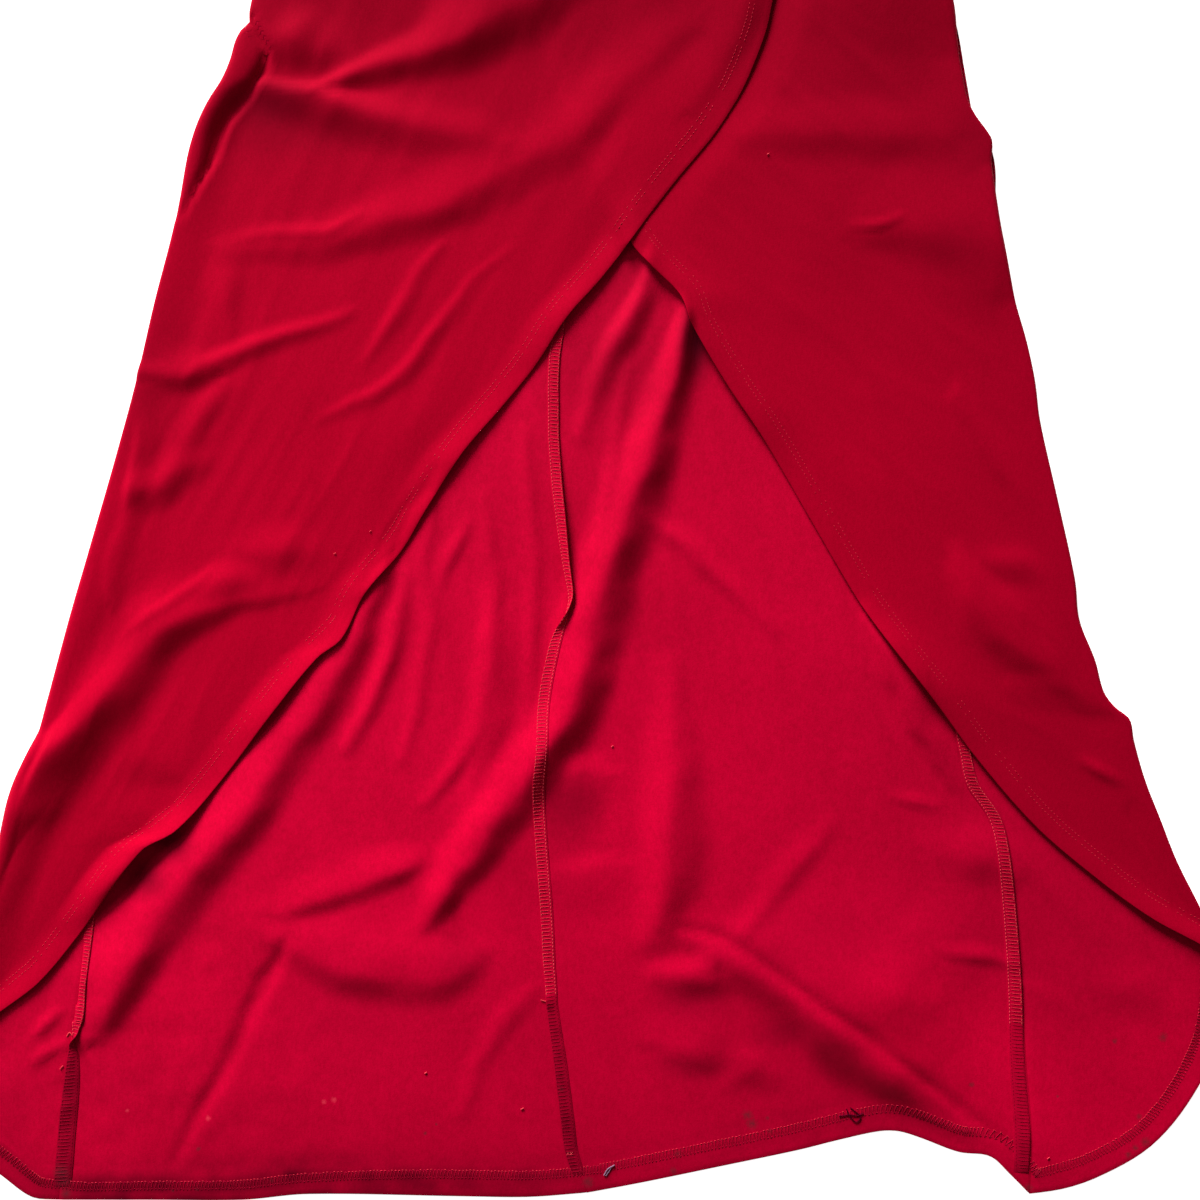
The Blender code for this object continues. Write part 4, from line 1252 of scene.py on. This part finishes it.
def bandPaths(points, top):
    # the inside of the hem: two rows joined by a zigzag
    even, ahead, left = evenLine(points, stitches["bandPitch"] / 2)
    near, far = stitches["band"]
    rng = np.random.default_rng(12)
    paths = []
    for i in range(len(even) - 3):
        first, second = (near, far) if i % 2 else (far, near)
        shift = np.interp(even[i][0], *zip(*stitches["bandShift"]))
        first, second = first + shift + rng.uniform(-0.3, 0.3), second + shift + rng.uniform(-0.3, 0.3)
        half = (even[i] + even[i + 1] + (left[i] + left[i + 1]) * (first + second) / 2) / 2
        spots = [even[i] + left[i] * first, half, even[i + 1] + left[i + 1] * second,
                 even[i + 2] + left[i + 2] * (second + (first - second) * 0.12)]
        path = layThread(top, spots, (0.1, 0.22, 0.16, 0.0))
        if path:
            paths.append(path)
    return paths


overTop = findTop(["skirt_front_right"])
underTop = findTop(["skirt_front_left"])
overLine = [(lineAt("overEdge", drop), drop) for drop in np.linspace(5, cloth["rightTip"] - 4, 60)]
underLine = [(lineAt("underEdge", drop), drop) for drop in np.linspace(5, cloth["leftTip"] - 4, 60)]
needleRows = []
for offset in stitches["rows"]:
    needleRows += rowPaths(overLine, -offset, overTop)
    needleRows += rowPaths(underLine, offset, underTop)
band = bandPaths(hemLine, backTop)
bandDots = dotPaths(hemLine, backTop)
print("stitches laid", len(needleRows), len(band), len(overlock))

# Loose ends and lint as (across, drop) points, with the thread's radius.
looseThreads = {
    "greyThread": [([(13.3, 1036), (16, 1031.6), (20.7, 1028.8)], 0.42),
                   ([(14.6, 1036.4), (18.4, 1031)], 0.3)],
    "darkThread": [([(185.9, 988.6), (188.5, 990.6), (193.2, 995.3), (189.9, 998.7), (185.2, 994),
                     (183.2, 989.5)], 0.38),
                   ([(178, 994.6), (185, 993.6), (191, 994.2), (195, 992.4)], 0.35)],
    "paleThread": [([(-13, 1022), (-11, 1019.6), (-9, 1021.4)], 0.3),
                   ([(-12.6, 1019.4), (-10.6, 1021.8), (-8.6, 1019.6)], 0.28),
                   ([(-31, 913), (-27.5, 914), (-23, 916)], 0.28), ([(-26, 918), (-22.6, 912)], 0.24),
                   ([(-363, 938.4), (-361, 935.6), (-359, 937.6)], 0.28),
                   ([(-367.6, 961.4), (-365.6, 958.8)], 0.28),
                   ([(127.4, 321), (128.8, 320.2)], 0.32), ([(18.4, 735.6), (19.8, 734.8)], 0.32),
                   ([(-45, 989.6), (-43, 988.6)], 0.36), ([(-112.4, 964.4), (-110.8, 963.4)], 0.34),
                   ([(324, 1024.6), (325.6, 1023.4)], 0.34), ([(-176, 600.6), (-174.4, 599.8)], 0.26),
                   ([(-151, 585), (-149.8, 584.2)], 0.24)],
}


def loosePieces():
    everyTop = findTop(list(pieces))
    made = {}
    for kind, rows in looseThreads.items():
        for number, (points, radius) in enumerate(rows):
            name = kind + str(number + 1)
            steps = np.linspace(0, 1, 4 * len(points))
            line = chain(points, steps) if len(points) > 2 else np.linspace(points[0], points[1], 4)
            path = layThread(everyTop, line, [radius + 0.25] * len(line))
            made[name] = makeThreads(name, [path], radius, threadMaterials[kind], 6)
    return made


# each piece's paths, thread radius, material and sides
sewing = {
    "overlockThreads": (overlock, strip["thread"], "coralThread", 5),
    "overlockRows": (overlockRows, strip["rowThread"], "paleThread", 4),
    "darkOverlock": (darkOverlock, strip["thread"] * strip["darkShare"], "dullThread", 4),
    "needleRows": (needleRows, stitches["rowThread"], "coralThread", 4),
    "hemThreads": (band, stitches["hemThread"], "redThread", 4),
    "hemDots": (bandDots, stitches["thread"], "coralThread", 4),
}
extras = {name: makeThreads(name, paths, radius, threadMaterials[kind], sides)
          for name, (paths, radius, kind, sides) in sewing.items()}
extras.update(loosePieces())
for group, slot in ((extras, "sewing_thread"), (stripPieces, "crepe_inside")):
    for piece in group.values():
        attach(piece, "root")

print("threads made", len(extras))

ground = {
    "half": 3,              # half its width, and how far it lies below the cloth, in metres
    "below": 0.0004,
    "colour": (0.9, 0.9, 0.9, 1),
    "glow": 0.9,
}
floorMesh = bpy.data.meshes.new("floor")
corners = [(x * ground["half"], y * ground["half"], -ground["below"])
           for x, y in ((-1, -1), (1, -1), (1, 1), (-1, 1))]
floorMesh.from_pydata(corners, [], [(0, 1, 2, 3)])
floor = addObject("floor", floorMesh)
floorMesh.materials.append(plainMaterial("paleFloor", ground["colour"], ground["glow"]))
print("floor laid")

light = {
    "height": 20.0,      # degrees above the floor
    "turn": 22.0,        # degrees from +Y towards -X
    "spread": 22.0,      # degrees it seems wide
    "power": 8.08,
    "sky": 0.14,         # strength of the even light from all round
}
fill = {
    "place": (-900, 380, 520),     # across, drop and height of a weak light beside the skirt
    "aim": (-150, 560),            # across and drop of what it points at
    "size": 0.6,
    "power": 3.0,
}
sun = bpy.data.lights.new("windowLight", "SUN")
sun.angle = math.radians(light["spread"])
sun.energy = light["power"]
sunPost = addObject("windowLight", sun)
rise, turn = math.radians(light["height"]), math.radians(light["turn"])
ray = Vector((-math.cos(rise) * math.sin(turn), math.cos(rise) * math.cos(turn), math.sin(rise)))
sunPost.location = ray * 2
sunPost.rotation_euler = ray.to_track_quat("Z", "Y").to_euler()
lamp = bpy.data.lights.new("sideLight", "AREA")
lamp.shape = "DISK"
lamp.size = fill["size"]
lamp.energy = fill["power"]
lampPost = addObject("sideLight", lamp)
lampPost.location = spotAt(*fill["place"])
lampPost.rotation_euler = (lampPost.location - spotAt(*fill["aim"])).to_track_quat("Z", "Y").to_euler()
world = bpy.data.worlds.new("studio")
bpy.context.scene.world = world
world.use_nodes = True
sky = world.node_tree.nodes["Background"].inputs
sky["Color"].default_value = (1, 1, 1, 1)
sky["Strength"].default_value = light["sky"]
bpy.context.scene.view_settings.view_transform = "Standard"

view = {
    "across": 10.5,      # the point that the camera looks straight down at
    "drop": 632.8,
    "width": 840.0,      # how much of the cloth it takes in
    "level": 0.004,      # height above the floor at which it takes that in, in metres
    "lens": 64.0,
    "sensor": 36.0,
}
camera = bpy.data.cameras.new("camera")
camera.lens = view["lens"]
camera.sensor_width = view["sensor"]
cameraPost = addObject("camera", camera)
cameraPost.location = (acrossZero + view["across"] * mm, waistY - view["drop"] * mm,
                       view["width"] * mm * view["lens"] / view["sensor"] + view["level"])
bpy.context.scene.camera = cameraPost
print("lights and camera placed")
